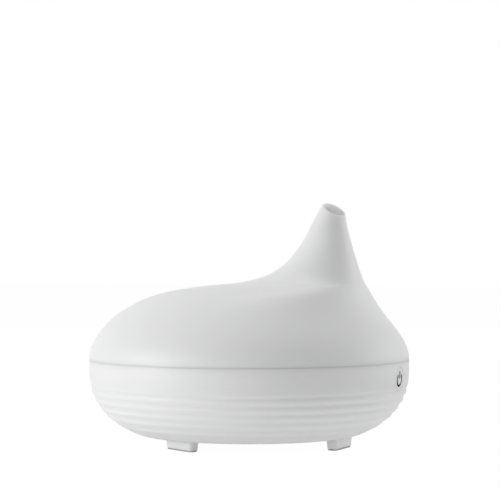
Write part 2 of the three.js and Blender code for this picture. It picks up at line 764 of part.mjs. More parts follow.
function topCover() {
  const [outerRows, innerRows, columns] = [21, 11, 36];
  const around = Array.from({ length: columns }, (_, i) => (2 * Math.PI * i) / columns);
  const outside = Array.from({ length: outerRows }, (_, row) =>
    around.map((a) => coverPoint(row / (outerRows - 1), a)),
  );
  const inside = Array.from({ length: innerRows }, (_, row) => {
    const along = 1 - row / (innerRows - 1);
    const wall = THREE.MathUtils.lerp(COVER_WALL, MOUTH_WALL, along ** 4);
    return around.map((a) => {
      const point = coverPoint(along, a).addScaledVector(coverNormal(along, a), -wall);
      if (row === innerRows - 1) point.z = COVER_Z;
      return point;
    });
  });
  return closedSkin([...outside, ...inside]);
}

// A ring in the spout's throat, with a drip disc hung under it on three legs.
function splashGuard() {
  const y = -40;
  const collar = ring(16.2, 17.6, 89.2, 92.2, ROUND_FACETS, 0, y);
  const disc = turned([[0, 75.6], [12.5, 75], [12.5, 76], [0, 77.4]], ROUND_FACETS, 0, y);
  const legs = [90, 210, 330].map((a) => {
    const [x, legY] = polar(16.9, a, y);
    const [dx, dy] = polar(11, a, y);
    return joined(
      rod(0.7, 75.2, 91, x, legY, 8),
      lead([[x, legY, 75.6], [(x + dx) / 2, (legY + dy) / 2, 75.6], [dx, dy, 75.6]], 0.55, 2),
    );
  });
  return joined(collar, disc, ...legs);
}

piece("top_cover", topCover(), SATIN_WHITE);
piece("splash_guard", splashGuard(), INNER_WHITE);

export default group;
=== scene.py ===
# %% [markdown]
# # A cool mist humidifier, step by step
# This lesson builds the looks of a small tabletop humidifier round a finished engineering model.
# The model, called the frame, already says where every piece sits and how it moves. Each cell
# below makes one piece or one finish, and prints what it made. Lengths are in metres, +Z is up,
# the front (the spout and the power key) faces -Y, and the power inlet faces +Y.

# %% Load the frame
import math

import bmesh
import bpy
import numpy as np
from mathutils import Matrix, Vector


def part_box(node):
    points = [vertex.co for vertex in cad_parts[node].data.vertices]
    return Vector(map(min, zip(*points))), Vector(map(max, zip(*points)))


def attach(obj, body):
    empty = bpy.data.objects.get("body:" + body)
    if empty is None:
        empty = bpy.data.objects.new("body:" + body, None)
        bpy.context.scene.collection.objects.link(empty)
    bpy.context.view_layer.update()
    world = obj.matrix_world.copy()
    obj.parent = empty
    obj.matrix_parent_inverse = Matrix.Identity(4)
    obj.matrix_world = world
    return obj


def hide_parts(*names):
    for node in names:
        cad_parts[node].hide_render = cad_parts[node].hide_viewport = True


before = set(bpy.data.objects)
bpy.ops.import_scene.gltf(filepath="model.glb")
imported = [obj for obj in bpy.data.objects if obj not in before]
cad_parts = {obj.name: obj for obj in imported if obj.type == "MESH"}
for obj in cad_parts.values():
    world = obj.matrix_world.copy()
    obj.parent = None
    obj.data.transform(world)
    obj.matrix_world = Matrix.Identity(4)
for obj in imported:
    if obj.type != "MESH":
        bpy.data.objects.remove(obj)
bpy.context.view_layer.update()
MM = 0.001

# %% [markdown]
# ## Sizes that the frame gives
# A piece goes where the engineering model has it, so its corners are read from the frame instead
# of typed again. Only shapes that a box can't tell, such as the curve of the body, are written
# out below as a few sections or a formula.


# %% Read sizes from the frame
def box_mm(node):
    """The two corners of a node's own box, in millimetres."""
    return [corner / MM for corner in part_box(node)]


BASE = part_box("base_shell")
BODY_R = BASE[1].x
FLOOR_Z = BASE[0].z
SEAM_Z = BASE[1].z
print(f"body radius {BODY_R / MM:.1f} mm, seam at {SEAM_Z / MM:.1f} mm")

# %% [markdown]
# ## The camera
# A long lens far from a small object keeps the body's true outline, as on a shop's page. The
# camera stands about a metre away, level with the spout's lower half, and looks past the front
# from the left.

# %% Make the camera
VIEW_AZIMUTH = math.radians(-66)
VIEW_DISTANCE = 0.9954
VIEW_HEIGHT = 0.1025
VIEW_SIDESTEP = 0.0004  # the body stands a hair left of the middle
LENS_MM, SENSOR_MM = 136, 36


def put(name, data):
    """A new object in the scene."""
    made = bpy.data.objects.new(name, data)
    bpy.context.scene.collection.objects.link(made)
    return made


def level_way(angle):
    """The level direction at an angle round the object, counted from its front."""
    return Vector((math.sin(angle), -math.cos(angle), 0))


def aim(thing, direction):
    """Turns a camera or a lamp to look in a direction."""
    thing.rotation_mode = "QUATERNION"
    thing.rotation_quaternion = direction.to_track_quat("-Z", "Y")


camera_data = bpy.data.cameras.new("camera")
camera_data.lens = LENS_MM
camera_data.sensor_width = SENSOR_MM
camera = put("camera", camera_data)
toward_camera = level_way(VIEW_AZIMUTH)
sideways = Vector((0, 0, 1)).cross(toward_camera)
camera.location = toward_camera * VIEW_DISTANCE + sideways * VIEW_SIDESTEP
camera.location.z = VIEW_HEIGHT
aim(camera, -toward_camera)
bpy.context.scene.camera = camera
print("camera at", [round(x, 3) for x in camera.location])

# %% [markdown]
# ## Floor, backdrop and soft light
# White plastic on white only reads by its soft shading. One large soft light stands on the left,
# a weaker one on the right and a third above and behind, so the right side is a little darker.
# The floor and the backdrop glow a little, as an evenly lit white studio sweep does. The floor's
# glow that lights the body is dimmed right under it, as a painted shadow.


# %% Helpers that add and feed nodes
def feed(tree, node, **inputs):
    """Sets a node's inputs. Each is a value, a socket, or a node for its first output."""
    for label, value in inputs.items():
        spot = int(label[1:]) if label[1:].isdigit() else label.replace("_", " ")
        if isinstance(value, bpy.types.Node):
            value = value.outputs[0]
        if isinstance(value, bpy.types.NodeSocket):
            tree.links.new(value, node.inputs[spot])
        else:
            node.inputs[spot].default_value = value


def add_node(tree, kind, settings=None, **inputs):
    """A new node with its settings and its inputs, which go by name or, as in i0, by place."""
    node = tree.nodes.new(kind)
    for key, value in (settings or {}).items():
        setattr(node, key, value)
    feed(tree, node, **inputs)
    return node


def empty_tree(made):
    """The node tree of a world or a material, with nothing in it."""
    made.use_nodes = True
    made.node_tree.nodes.clear()
    return made.node_tree


# %% Set the view and the backdrop
AMBIENT, MIRRORED, BACKDROP = 0.3, 1.0, 1.0  # what lights, what gloss shows, what the eye sees
WHITE = (1, 1, 1, 1)

scene = bpy.context.scene
scene.view_settings.view_transform = "Standard"
scene.view_settings.look = "None"
scene.world = bpy.data.worlds.new("studio")
tree = empty_tree(scene.world)
seen = add_node(tree, "ShaderNodeLightPath").outputs
lit, mirrored, backdrop = (
    add_node(tree, "ShaderNodeBackground", Color=WHITE, Strength=strength)
    for strength in (AMBIENT, MIRRORED, BACKDROP)
)
unseen = add_node(tree, "ShaderNodeMixShader", i0=seen["Is Glossy Ray"], i1=lit, i2=mirrored)
either = add_node(tree, "ShaderNodeMixShader", i0=seen["Is Camera Ray"], i1=unseen, i2=backdrop)
add_node(tree, "ShaderNodeOutputWorld", Surface=either)
print("backdrop: white, ambient", AMBIENT)

# %% Lay the floor
FLOOR_HALF = 4.0
FLOOR_GLOW = 0.97
FLOOR_SHADE = 0.06
PAINTED_SHADOW_BOUNCE, BOUNCE_OPEN = 0.35, 0.75  # painted shadow: the floor's glow that lights the body is dimmer right under it
PAINTED_SHADOW_R = (0.03, 0.08)

floor_mesh = bpy.data.meshes.new("floor")
corners = [(x * FLOOR_HALF, y * FLOOR_HALF, 0) for x, y in ((-1, -1), (1, -1), (1, 1), (-1, 1))]
floor_mesh.from_pydata(corners, [], [(0, 1, 2, 3)])
floor = put("floor", floor_mesh)
sweep = bpy.data.materials.new("studio_sweep")
tree = empty_tree(sweep)
seen = add_node(tree, "ShaderNodeLightPath").outputs["Is Camera Ray"]
glow = add_node(tree, "ShaderNodeEmission", Strength=FLOOR_GLOW)
shade = add_node(tree, "ShaderNodeBsdfDiffuse", Color=(FLOOR_SHADE,) * 3 + (1,))
shown = add_node(tree, "ShaderNodeAddShader", i0=glow, i1=shade)
# Painted shadow: the glow that lights the body fades towards the middle of the floor, right under
# the body.
place = add_node(tree, "ShaderNodeTexCoord").outputs["Object"]
away = add_node(tree, "ShaderNodeVectorMath", {"operation": "LENGTH"}, i0=place).outputs["Value"]
fall = add_node(tree, "ShaderNodeMapRange", {"interpolation_type": "SMOOTHSTEP"}, Value=away)
feed(tree, fall, From_Min=PAINTED_SHADOW_R[0], From_Max=PAINTED_SHADOW_R[1])
feed(tree, fall, To_Min=PAINTED_SHADOW_BOUNCE, To_Max=BOUNCE_OPEN)
bounce_painted_shadow = add_node(tree, "ShaderNodeEmission", Strength=fall)
either = add_node(tree, "ShaderNodeMixShader", i0=seen, i1=bounce_painted_shadow, i2=shown)
add_node(tree, "ShaderNodeOutputMaterial", Surface=either)
floor_mesh.materials.append(sweep)
print("floor:", 2 * FLOOR_HALF, "m wide")

# %% Hang the lights
LIGHT_SIZE = 0.9
AIM_HEIGHT = 0.06


def soft_light(name, turn_degrees, height, distance, power):
    """A square soft light, turned from the camera's side round the object, and aimed at it."""
    data = bpy.data.lights.new(name, "AREA")
    data.shape = "SQUARE"
    data.size = LIGHT_SIZE
    data.energy = power
    lamp = put(name, data)
    lamp.location = level_way(VIEW_AZIMUTH + math.radians(turn_degrees)) * distance
    lamp.location.z = height
    aim(lamp, Vector((0, 0, AIM_HEIGHT)) - lamp.location)
    print(f"light {name}: {power} W")


soft_light("key_left", -70, 0.25, 1.5, 13.4)
soft_light("fill_right", 110, 0.4, 1.5, 4.3)
soft_light("top_behind", 150, 1.5, 0.4, 6.8)

# %% [markdown]
# ## Finishes
# Every finish is made of shader nodes on Object coordinates, so that its grain has a real size
# and stays put on the piece. Moulded plastic is never one flat colour: its tone drifts a little,
# and its skin has the fine texture of the mould, which breaks up the gloss.

# %% A helper for moulded and natural surfaces
TONE_WAVES = 22  # slow drifts of tone in each metre


def surface(name, color, roughness, grain, depth, drift=0.02, gloss_drift=0.06, **extra):
    """A Principled material with a slow drift of tone and gloss and a fine grain as bump."""
    made = bpy.data.materials.new(name)
    made.use_nodes = True
    tree = made.node_tree
    place = add_node(tree, "ShaderNodeTexCoord").outputs["Object"]
    slow = add_node(tree, "ShaderNodeTexNoise", Vector=place, Scale=TONE_WAVES, Detail=3)
    fine = add_node(tree, "ShaderNodeTexNoise", Vector=place, Scale=1 / grain, Detail=4)
    ends = [(*(min(1, c * (1 + shift)) for c in color), 1) for shift in (-drift, drift)]
    tone = add_node(tree, "ShaderNodeMix", {"data_type": "RGBA"}, i0=slow, i6=ends[0], i7=ends[1])
    least, most = max(0.02, roughness - gloss_drift), min(1, roughness + gloss_drift)
    gloss = add_node(tree, "ShaderNodeMapRange", Value=fine, To_Min=least, To_Max=most)
    bump = add_node(tree, "ShaderNodeBump", Height=fine, Distance=depth, Strength=1.0)
    shader = tree.nodes["Principled BSDF"]
    feed(tree, shader, Base_Color=tone.outputs[2], Roughness=gloss, Normal=bump, **extra)
    return made


# %% The finishes of the housing
def lit_through(weight, depth, tint):
    """The sockets that let light pass a little way into a thin white wall."""
    return {"Subsurface_Weight": weight, "Subsurface_Scale": depth, "Subsurface_Radius": tint}


wall_glow = lit_through(0.5, 0.004, (1, 0.96, 0.9))
# Painted light: the inside of the cover is the same plastic, given a brighter copy of its white
# that lets more light through.
painted_light_throat_glow = lit_through(1.0, 0.01, (1, 0.98, 0.95))
satin_white = surface(
    "satin_white_plastic", (0.93, 0.93, 0.927), 0.46, 0.0007, 0.00002, 0.006, **wall_glow
)
inner_white = surface("inner_white_plastic", (0.88, 0.885, 0.885), 0.5, 0.0012, 0.00003, 0.01)
painted_light_throat_white = surface(
    "throat_white_plastic", (0.95, 0.95, 0.95), 0.5, 0.0007, 0.00002, 0.006, **painted_light_throat_glow
)
pad_rubber = surface("foot_rubber", (0.4, 0.4, 0.405), 0.8, 0.0005, 0.00004, 0.08)
symbol_ink = surface(
    "symbol_ink", (0.008, 0.008, 0.009), 0.8, 0.0004, 0.00001, 0.1, Specular_IOR_Level=0.05
)
print("finishes:", satin_white.name, inner_white.name, pad_rubber.name, symbol_ink.name)

# %% [markdown]
# ## Helpers for meshes
# Most pieces are rings of points joined into a skin: a ring may be a circle about an axis, a
# rounded rectangle or a section of the spout. One helper joins the rings and another turns a
# profile, and both hand the mesh over with its faces pointing out.

# %% Build meshes from rings
SHARP_ANGLE = math.radians(35)


def faces_out(mesh, merged=True):
    """Turns a mesh's faces outwards, after its doubled points are merged."""
    work = bmesh.new()
    work.from_mesh(mesh)
    if merged:
        bmesh.ops.remove_doubles(work, verts=work.verts, dist=1e-7)
    bmesh.ops.recalc_face_normals(work, faces=work.faces)
    work.to_mesh(mesh)
    work.free()
    return mesh


def finished(mesh, name, material, body, nodes=()):
    """A mesh as a finished piece: faces out, smooth but for its sharp edges, riding on a body."""
    faces_out(mesh)
    mesh.shade_smooth()
    mesh.set_sharp_from_angle(angle=SHARP_ANGLE)
    mesh.materials.clear()
    mesh.materials.append(material)
    made = put(name, mesh)
    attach(made, body)
    if nodes:
        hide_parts(*([nodes] if isinstance(nodes, str) else nodes))
    print(f"{name}: {len(mesh.polygons)} faces")
    return made


def second_finish(piece, material, wanted):
    """Gives a second material to the faces that pass a test."""
    piece.data.materials.append(material)
    for face in piece.data.polygons:
        if wanted(face):
            face.material_index = 1


def skin(rings, looped=True):
    """Rings of equal length joined in order; the last meets the first, or both ends are capped."""
    rows, columns = len(rings), len(rings[0])
    points = np.concatenate([np.asarray(ring, float) for ring in rings])
    faces = []
    for row in range(rows if looped else rows - 1):
        low, high = row * columns, (row + 1) % rows * columns
        for column in range(columns):
            nxt = (column + 1) % columns
            faces.append((low + column, low + nxt, high + nxt, high + column))
    if not looped:
        faces.append(tuple(reversed(range(columns))))
        faces.append(tuple((rows - 1) * columns + column for column in range(columns)))
    mesh = bpy.data.meshes.new("skin")
    mesh.from_pydata(points.tolist(), [], faces)
    return mesh


def circle(radius, height, centre, columns):
    """The points of a level circle."""
    angles = np.linspace(0, 2 * math.pi, columns, endpoint=False)
    x, y = centre[0] + radius * np.cos(angles), centre[1] + radius * np.sin(angles)
    return np.stack([x, y, np.full(columns, height)], axis=1)


def turned(profile, columns=192, centre=(0, 0)):
    """A profile of (radius, height) points turned about an upright axis. It closes on itself."""
    return skin([circle(radius, height, centre, columns) for radius, height in profile])


def round_corner(corner, before, after, radius, steps):
    """Points of an arc that rounds off a corner of a profile between its two neighbours."""
    c, a, b = (Vector(p) for p in (corner, before, after))
    into, out = (a - c).normalized(), (b - c).normalized()
    half = into.angle(out) / 2
    reach = radius / math.tan(half)
    middle = c + (into + out).normalized() * (radius / math.sin(half))
    start, end = c + into * reach - middle, c + out * reach - middle
    turn = start.angle_signed(end)
    made = []
    for i in range(steps + 1):
        k, s = math.cos(turn * i / steps), math.sin(-turn * i / steps)
        made.append(tuple(middle + Vector((start.x * k - start.y * s, start.x * s + start.y * k))))
    return made


def rounded(profile, radius, steps=5, keep=()):
    """A closed profile with its corners rounded off, apart from those listed in keep."""
    made = []
    for i, corner in enumerate(profile):
        before, after = profile[i - 1], profile[(i + 1) % len(profile)]
        if i in keep:
            made.append(corner)
        else:
            made += round_corner(corner, before, after, radius, steps)
    return made


# %% Cut one mesh with another
def evaluated_mesh(holder, *helpers):
    """The plain mesh that an object's modifiers give. The object and its helpers go away."""
    bpy.context.view_layer.update()
    ready = holder.evaluated_get(bpy.context.evaluated_depsgraph_get())
    made = bpy.data.meshes.new_from_object(ready)
    holder.modifiers.clear()
    for used in (holder, *helpers):
        bpy.data.objects.remove(used)
    return made


def cut(mesh, cutters, operation="DIFFERENCE"):
    """The mesh less its cutters, or joined with them, as a new plain mesh."""
    holder = put("holder", mesh)
    helpers = [put("cutter", cutter) for cutter in cutters]
    for helper in helpers:
        boolean = holder.modifiers.new("cut", "BOOLEAN")
        boolean.operation = operation
        boolean.solver = "EXACT"
        boolean.object = helper
    return evaluated_mesh(holder, *helpers)


def solid_of_rings(rings):
    """A capped skin with its faces turned outwards, ready to cut with."""
    return faces_out(skin(rings, False), merged=False)


def bar(radius, start, end, columns=64):
    """A round bar from one point to another along Y or Z."""
    angles = np.linspace(0, 2 * math.pi, columns, endpoint=False)
    along = (Vector(end) - Vector(start)).normalized()
    side = along.orthogonal().normalized()
    other = along.cross(side)
    ring = [radius * (side * math.cos(a) + other * math.sin(a)) for a in angles]
    return solid_of_rings([[tuple(p + Vector(at)) for p in ring] for at in (start, end)])


# %% [markdown]
# ## The lift-off cover
# The cover is one moulding: a dome that flows without an edge into the off-centre spout. It can
# be thought of as a stack of level circles that shrink and slide forwards as they rise. Seen from
# the side, each circle spans from a front line to a back line, so two smooth lines through a few
# points give the whole shape. Towards the tip the circles tilt, which gives the slanted mouth.
# The inside is the same surface moved in by the wall's thickness.

# %% The cover's side lines
# Points of (y, z) from the seam to the mouth, in millimetres: the dome's, then the spout's.
COVER_FRONT = [(-84, 45.6), (-80.8, 56), (-72.7, 67), (-65.1, 79)]
COVER_FRONT += [(-60.7, 92), (-56.6, 107), (-54.3, 123.6)]
COVER_BACK = [(84, 45.6), (80, 57.5), (65, 71.5), (46, 79.6), (28, 82.9), (11, 84.8)]
COVER_BACK += [(-4, 85.6), (-17, 91), (-30.9, 106), (-41.6, 123.6)]
MOUTH_Z = 123.6 * MM
EASE_AT, EASE_WIDTH, EASE_REACH = 0.63, 0.18, 0.07  # shares of the way from seam to mouth
MOUTH_TILT = math.radians(31)
MOUTH_TURN = math.radians(-22)
TILT_START_Z = 106 * MM
COVER_WALL = 2.2 * MM
MOUTH_WALL = 1.5 * MM


def smooth_line(points, knots, start_slope):
    """The smoothest curve through the points (a cubic spline), as a function of the knots."""
    at = np.asarray(points, float)
    steps = np.diff(knots)
    count = len(at)
    system, wanted = np.zeros((count, count)), np.zeros_like(at)
    system[0, :2] = 2 * steps[0], steps[0]
    wanted[0] = 6 * ((at[1] - at[0]) / steps[0] - np.asarray(start_slope))
    system[-1, -1] = 1
    for i in range(1, count - 1):
        system[i, i - 1 : i + 2] = steps[i - 1], 2 * (steps[i - 1] + steps[i]), steps[i]
        wanted[i] = 6 * ((at[i + 1] - at[i]) / steps[i] - (at[i] - at[i - 1]) / steps[i - 1])
    bend = np.linalg.solve(system, wanted)

    def line(where):
        t = np.atleast_1d(where)
        i = np.clip(np.searchsorted(knots, t, side="right") - 1, 0, count - 2)
        h = steps[i][:, None]
        left, right = (knots[i + 1] - t)[:, None], (t - knots[i])[:, None]
        curve = (bend[i] * left**3 + bend[i + 1] * right**3) / (6 * h)
        curve += (at[i] / h - bend[i] * h / 6) * left
        return curve + (at[i + 1] / h - bend[i + 1] * h / 6) * right

    return line


def chord_knots(points):
    """How far along a line each of its points is."""
    steps = np.linalg.norm(np.diff(points, axis=0), axis=1)
    return np.concatenate([[0], np.cumsum(steps)])


front, back = np.array(COVER_FRONT) * MM, np.array(COVER_BACK) * MM
back_knots = chord_knots(back)
front_line = smooth_line(front[:, :1], front[:, 1], [0])
back_line = smooth_line(back, back_knots, [0, 1])


def cover_line(along):
    """Height, radius and lean of the level circles: along runs from 0 at the seam to 1."""
    back_y, height = back_line(np.atleast_1d(along) * back_knots[-1]).T
    front_y = front_line(height)[:, 0]
    return np.stack([height, (back_y - front_y) / 2, -(back_y + front_y) / 2], axis=1)


circles = np.round(cover_line([0, 0.5, 1]) / MM, 1)
print("cover circles (height, radius, lean):", circles.tolist())


# %% Shape and finish the cover
def raw_points(along, around):
    """The stack of circles itself: one row for each along, one column for each around."""
    height, radius, lean = cover_line(along).T[:, :, None]
    share = np.clip((height - TILT_START_Z) / (MOUTH_Z - TILT_START_Z), 0, 1)
    tilt = MOUTH_TILT * share**2 * (3 - 2 * share)
    across = radius * np.cos(around - MOUTH_TURN)
    reach = radius * np.sin(around - MOUTH_TURN)
    flat = reach * np.cos(tilt)
    x = across * math.cos(MOUTH_TURN) - flat * math.sin(MOUTH_TURN)
    y = across * math.sin(MOUTH_TURN) + flat * math.cos(MOUTH_TURN) - lean
    return np.stack([x, y, height + reach * np.sin(tilt)], axis=-1)


def cover_points(along, around):
    """The outside of the cover: where the dome meets the spout, each row is eased into the rows
    round it, so that no line shows where the circles start to shrink slowly."""
    reach = EASE_REACH * np.exp(-(((along - EASE_AT) / EASE_WIDTH) ** 2))
    total, weights = 0, 0
    for step in np.linspace(-2, 2, 9):
        weight = math.exp(-(step**2) / 2)
        total = total + weight * raw_points(along + step * reach, around)
        weights += weight
    return total / weights


def cover_skin(along, around, wall):
    """The surface moved inwards by the wall's thickness, along its own normals."""
    step = 1e-4
    low, high = np.clip(along - step, 0, 1), np.clip(along + step, 0, 1)
    up = cover_points(high, around) - cover_points(low, around)
    side = cover_points(along, around + step) - cover_points(along, around - step)
    out = np.cross(side, up)
    out /= np.linalg.norm(out, axis=-1, keepdims=True)
    return cover_points(along, around) - out * wall[:, None, None]


COVER_COLUMNS = 240
OUTER_ROWS, INNER_ROWS, RIM_ROWS = 170, 90, 7
SEAM_GAP = 0.02 * MM
around = np.linspace(0, 2 * math.pi, COVER_COLUMNS, endpoint=False)
rim_start = 1 - 0.5 * MOUTH_WALL / back_knots[-1]
outside = cover_points(np.linspace(0, rim_start, OUTER_ROWS), around)
inner_rows = np.linspace(rim_start, 0, INNER_ROWS)
inside = cover_skin(inner_rows, around, COVER_WALL + (MOUTH_WALL - COVER_WALL) * inner_rows**4)
outside[0, :, 2] = inside[-1, :, 2] = SEAM_Z + SEAM_GAP
middle, across = (outside[-1] + inside[0]) / 2, (outside[-1] - inside[0]) / 2
up = outside[-1] - outside[-2]
up *= np.linalg.norm(across, axis=-1, keepdims=True) / np.linalg.norm(up, axis=-1, keepdims=True)
bends = [math.pi * k / (RIM_ROWS + 1) for k in range(1, RIM_ROWS + 1)]
rim = [middle + across * math.cos(bend) + up * math.sin(bend) for bend in bends]
cover_mesh = skin([*outside, *rim, *inside])
cover = finished(cover_mesh, "cover_shell", satin_white, "cover", "top_cover")
first_inside = (OUTER_ROWS + RIM_ROWS // 2 + 1) * COVER_COLUMNS
# The cover's inside faces take the brighter copy of its white, as painted light in the throat.
second_finish(cover, painted_light_throat_white, lambda face: min(face.vertices) >= first_inside)

# %% [markdown]
# ## The rippled base
# Below the seam the base curves in to a flat underside, on a superellipse: nearly upright at the
# seam and square-shouldered at the floor. Five soft ripples run round it. Because they follow a
# rule, Geometry Nodes make them: a smooth shell goes in, and each point of its outside moves in
# or out with the cosine of its height, fading at both ends.

# %% The outline of the base
WIDEST_Z, BASE_DEPTH = 41.6 * MM, 41.9 * MM
DROP_POWER, CURVE_POWER = 2.38, 1 / 3
FLOOR_EASE = 0.5 * MM
BELLY_FROM, WAVES_FROM, WAVES_TO = 2.2 * MM, 10 * MM, 32 * MM
WALL = 2.4 * MM
LEDGE_R, LEDGE_TOP_Z = 54 * MM, 9.5 * MM
SEAT_LOW, SEAT_HIGH, SEAT_R = 41.0 * MM, 43.0 * MM, 78.5 * MM
BASE_COLUMNS = 288
HAIR = 1e-3  # a profile ends this far off the axis, in millimetres, so that it closes on itself


def base_radius(z):
    """The body's radius at a height below the seam."""
    drop = np.maximum(0, WIDEST_Z - z) / BASE_DEPTH
    return BODY_R * (1 - drop**DROP_POWER) ** CURVE_POWER


def eased(z):
    """The curve's own height, turned softly into the flat underside."""
    return FLOOR_Z + FLOOR_EASE * np.log1p(np.exp((z - FLOOR_Z) / FLOOR_EASE))


belly = np.linspace(BELLY_FROM, WAVES_FROM, 26)
waves = np.linspace(WAVES_FROM, WAVES_TO, 96)[1:]
upper = np.linspace(WAVES_TO, SEAM_Z, 20)[1:]
outline = [(base_radius(z), eased(z)) for z in (*belly, *waves, *upper)]
inner_heights = np.linspace(SEAT_LOW - 2.6 * MM, LEDGE_TOP_Z + 0.5 * MM, 30)
inside = [(base_radius(z) - WALL, z) for z in inner_heights]
rim = BODY_R - WALL
seat = [(rim, SEAM_Z), (rim, SEAT_HIGH), (SEAT_R, SEAT_HIGH), (SEAT_R, SEAT_LOW)]
ledge = [(LEDGE_R, LEDGE_TOP_Z), (HAIR * MM, LEDGE_TOP_Z)]
shell_mesh = turned([(HAIR * MM, FLOOR_Z), *outline, *seat, *inside, *ledge], BASE_COLUMNS)
outward = np.zeros(len(shell_mesh.vertices), np.float32)
outward[BASE_COLUMNS : BASE_COLUMNS * (1 + len(outline))] = 1
mark = shell_mesh.attributes.new("outside", "FLOAT", "POINT")
mark.data.foreach_set("value", outward)
print("smooth shell:", len(shell_mesh.vertices), "points,", int(outward.sum()), "outside")

# %% A small kit for node trees
ORIGIN = (0.0, 0.0, 0.0)


def node_tree(name, **inputs):
    """A Geometry Nodes tree with an input for each named size, and one for the material."""
    made = bpy.data.node_groups.new(name, "GeometryNodeTree")
    add = made.interface.new_socket
    add("Geometry", in_out="INPUT", socket_type="NodeSocketGeometry")
    for label, value in inputs.items():
        kind = {int: "Int", float: "Float", tuple: "Vector"}[type(value)]
        socket = add(label.replace("_", " "), in_out="INPUT", socket_type=f"NodeSocket{kind}")
        socket.default_value = value
    add("Material", in_out="INPUT", socket_type="NodeSocketMaterial")
    add("Geometry", in_out="OUTPUT", socket_type="NodeSocketGeometry")
    made.nodes.new("NodeGroupOutput")
    return made, made.nodes.new("NodeGroupInput").outputs


def math_node(tree, operation, *values):
    """The result of a math node on up to three values or sockets."""
    inputs = {f"i{i}": value for i, value in enumerate(values)}
    return add_node(tree, "ShaderNodeMath", {"operation": operation}, **inputs).outputs[0]


def vector_node(tree, operation, first, **others):
    """The result of a vector math node."""
    node = add_node(tree, "ShaderNodeVectorMath", {"operation": operation}, i0=first, **others)
    return node.outputs[0]


def joined(tree, x=0, y=0, z=0):
    """A vector joined from three numbers or sockets."""
    return add_node(tree, "ShaderNodeCombineXYZ", X=x, Y=y, Z=z).outputs[0]


def close_tree(tree, geometry, material):
    """Ends a tree with Realize Instances and Set Material."""
    real = add_node(tree, "GeometryNodeRealizeInstances", Geometry=geometry)
    painted = add_node(tree, "GeometryNodeSetMaterial", Geometry=real, Material=material)
    feed(tree, tree.nodes["Group Output"], i0=painted)
    print(f"tree {tree.name}: {len(tree.nodes)} nodes")


def run_tree(mesh, tree, **values):
    """What a node tree makes of a mesh, or of nothing, with these inputs, as a plain mesh."""
    holder = put("holder", mesh or bpy.data.meshes.new("nothing"))
    modifier = holder.modifiers.new("nodes", "NODES")
    modifier.node_group = tree
    identifiers = {s.name: s.identifier for s in tree.interface.items_tree if s.in_out == "INPUT"}
    for label, value in values.items():
        modifier[identifiers[label.replace("_", " ")]] = value
    return evaluated_mesh(holder)


# %% The ripples as a node tree
sizes = {"Pitch": 0.004, "Height": 0.0004, "Top_crest": 0.029}
ripples, given = node_tree("ripples", **sizes, Low_end=0.008, High_end=0.033, Fade=0.003)
place = add_node(ripples, "GeometryNodeInputPosition")
parts = add_node(ripples, "ShaderNodeSeparateXYZ", i0=place).outputs
away = vector_node(ripples, "NORMALIZE", joined(ripples, parts["X"], parts["Y"]))
below = math_node(ripples, "SUBTRACT", parts["Z"], given["Top crest"])
turns = math_node(ripples, "DIVIDE", below, given["Pitch"])
wave = math_node(ripples, "COSINE", math_node(ripples, "MULTIPLY", turns, 2 * math.pi))
depth = math_node(ripples, "MULTIPLY", wave, given["Height"])
rise = math_node(ripples, "SUBTRACT", parts["Z"], given["Low end"])
fall = math_node(ripples, "SUBTRACT", given["High end"], parts["Z"])
SOFT = {"interpolation_type": "SMOOTHSTEP"}
for distance in (rise, fall):
    share = math_node(ripples, "DIVIDE", distance, given["Fade"])
    soft = add_node(ripples, "ShaderNodeMapRange", SOFT, Value=share)
    depth = math_node(ripples, "MULTIPLY", depth, soft)
is_outside = add_node(ripples, "GeometryNodeInputNamedAttribute", Name="outside")
depth = math_node(ripples, "MULTIPLY", depth, is_outside)
shift = vector_node(ripples, "SCALE", away, Scale=depth)
moved = add_node(ripples, "GeometryNodeSetPosition", Geometry=given["Geometry"], Offset=shift)
close_tree(ripples, moved, given["Material"])

# %% Ripple the base and cut its openings
hatch_low, hatch_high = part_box("bottom_cover")
HATCH_CENTRE_Y = (hatch_low.y + hatch_high.y) / 2
HATCH_R = (hatch_high.x - hatch_low.x) / 2
HATCH_TOP_Z = 6.9 * MM
HATCH_GAP = 0.3 * MM
LEDGE_HOLE_R = 38.6 * MM
KEY_Z = 37 * MM
KEY_R = 5.9 * MM
KEY_POCKET_R = 7.3 * MM
HAIRLINE = 0.09 * MM
KEY_SUNK = 0.05 * MM
jack_low, jack_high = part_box("dc_jack")
JACK_Z = (jack_low.z + jack_high.z) / 2
JACK_HOLE_R = 5.0 * MM

rippled = run_tree(
    shell_mesh,
    ripples,
    Pitch=4.34 * MM,
    Height=0.33 * MM,
    Top_crest=28.4 * MM,
    Low_end=7.3 * MM,
    High_end=33.4 * MM,
    Fade=3.2 * MM,
    Material=satin_white,
)


def upright_bar(radius, low, high, columns):
    """A bar about the bottom cover's middle."""
    return bar(radius, (0, HATCH_CENTRE_Y, low), (0, HATCH_CENTRE_Y, high), columns)


openings = [
    upright_bar(HATCH_R + HATCH_GAP, 0.003, HATCH_TOP_Z + HATCH_GAP, 160),
    upright_bar(LEDGE_HOLE_R, 0.003, 0.012, 128),
    bar(KEY_R + HAIRLINE, (0, -0.09, KEY_Z), (0, -0.075, KEY_Z), 96),
    bar(KEY_POCKET_R, (0, -0.081, KEY_Z), (0, -0.075, KEY_Z), 64),
    bar(JACK_HOLE_R, (0, 0.066, JACK_Z), (0, 0.09, JACK_Z), 96),
]
base_mesh = cut(rippled, openings)
finished(base_mesh, "rippled_base", satin_white, "base", "base_shell")

# %% [markdown]
# ## The power key and its printed symbol
# The key is flush with the body and follows its curve, with only a hairline round it. The symbol
# is the usual one for power, a ring that is open at the top with a bar in the gap. It is printed,
# so here it is a very thin layer laid on the curved face.

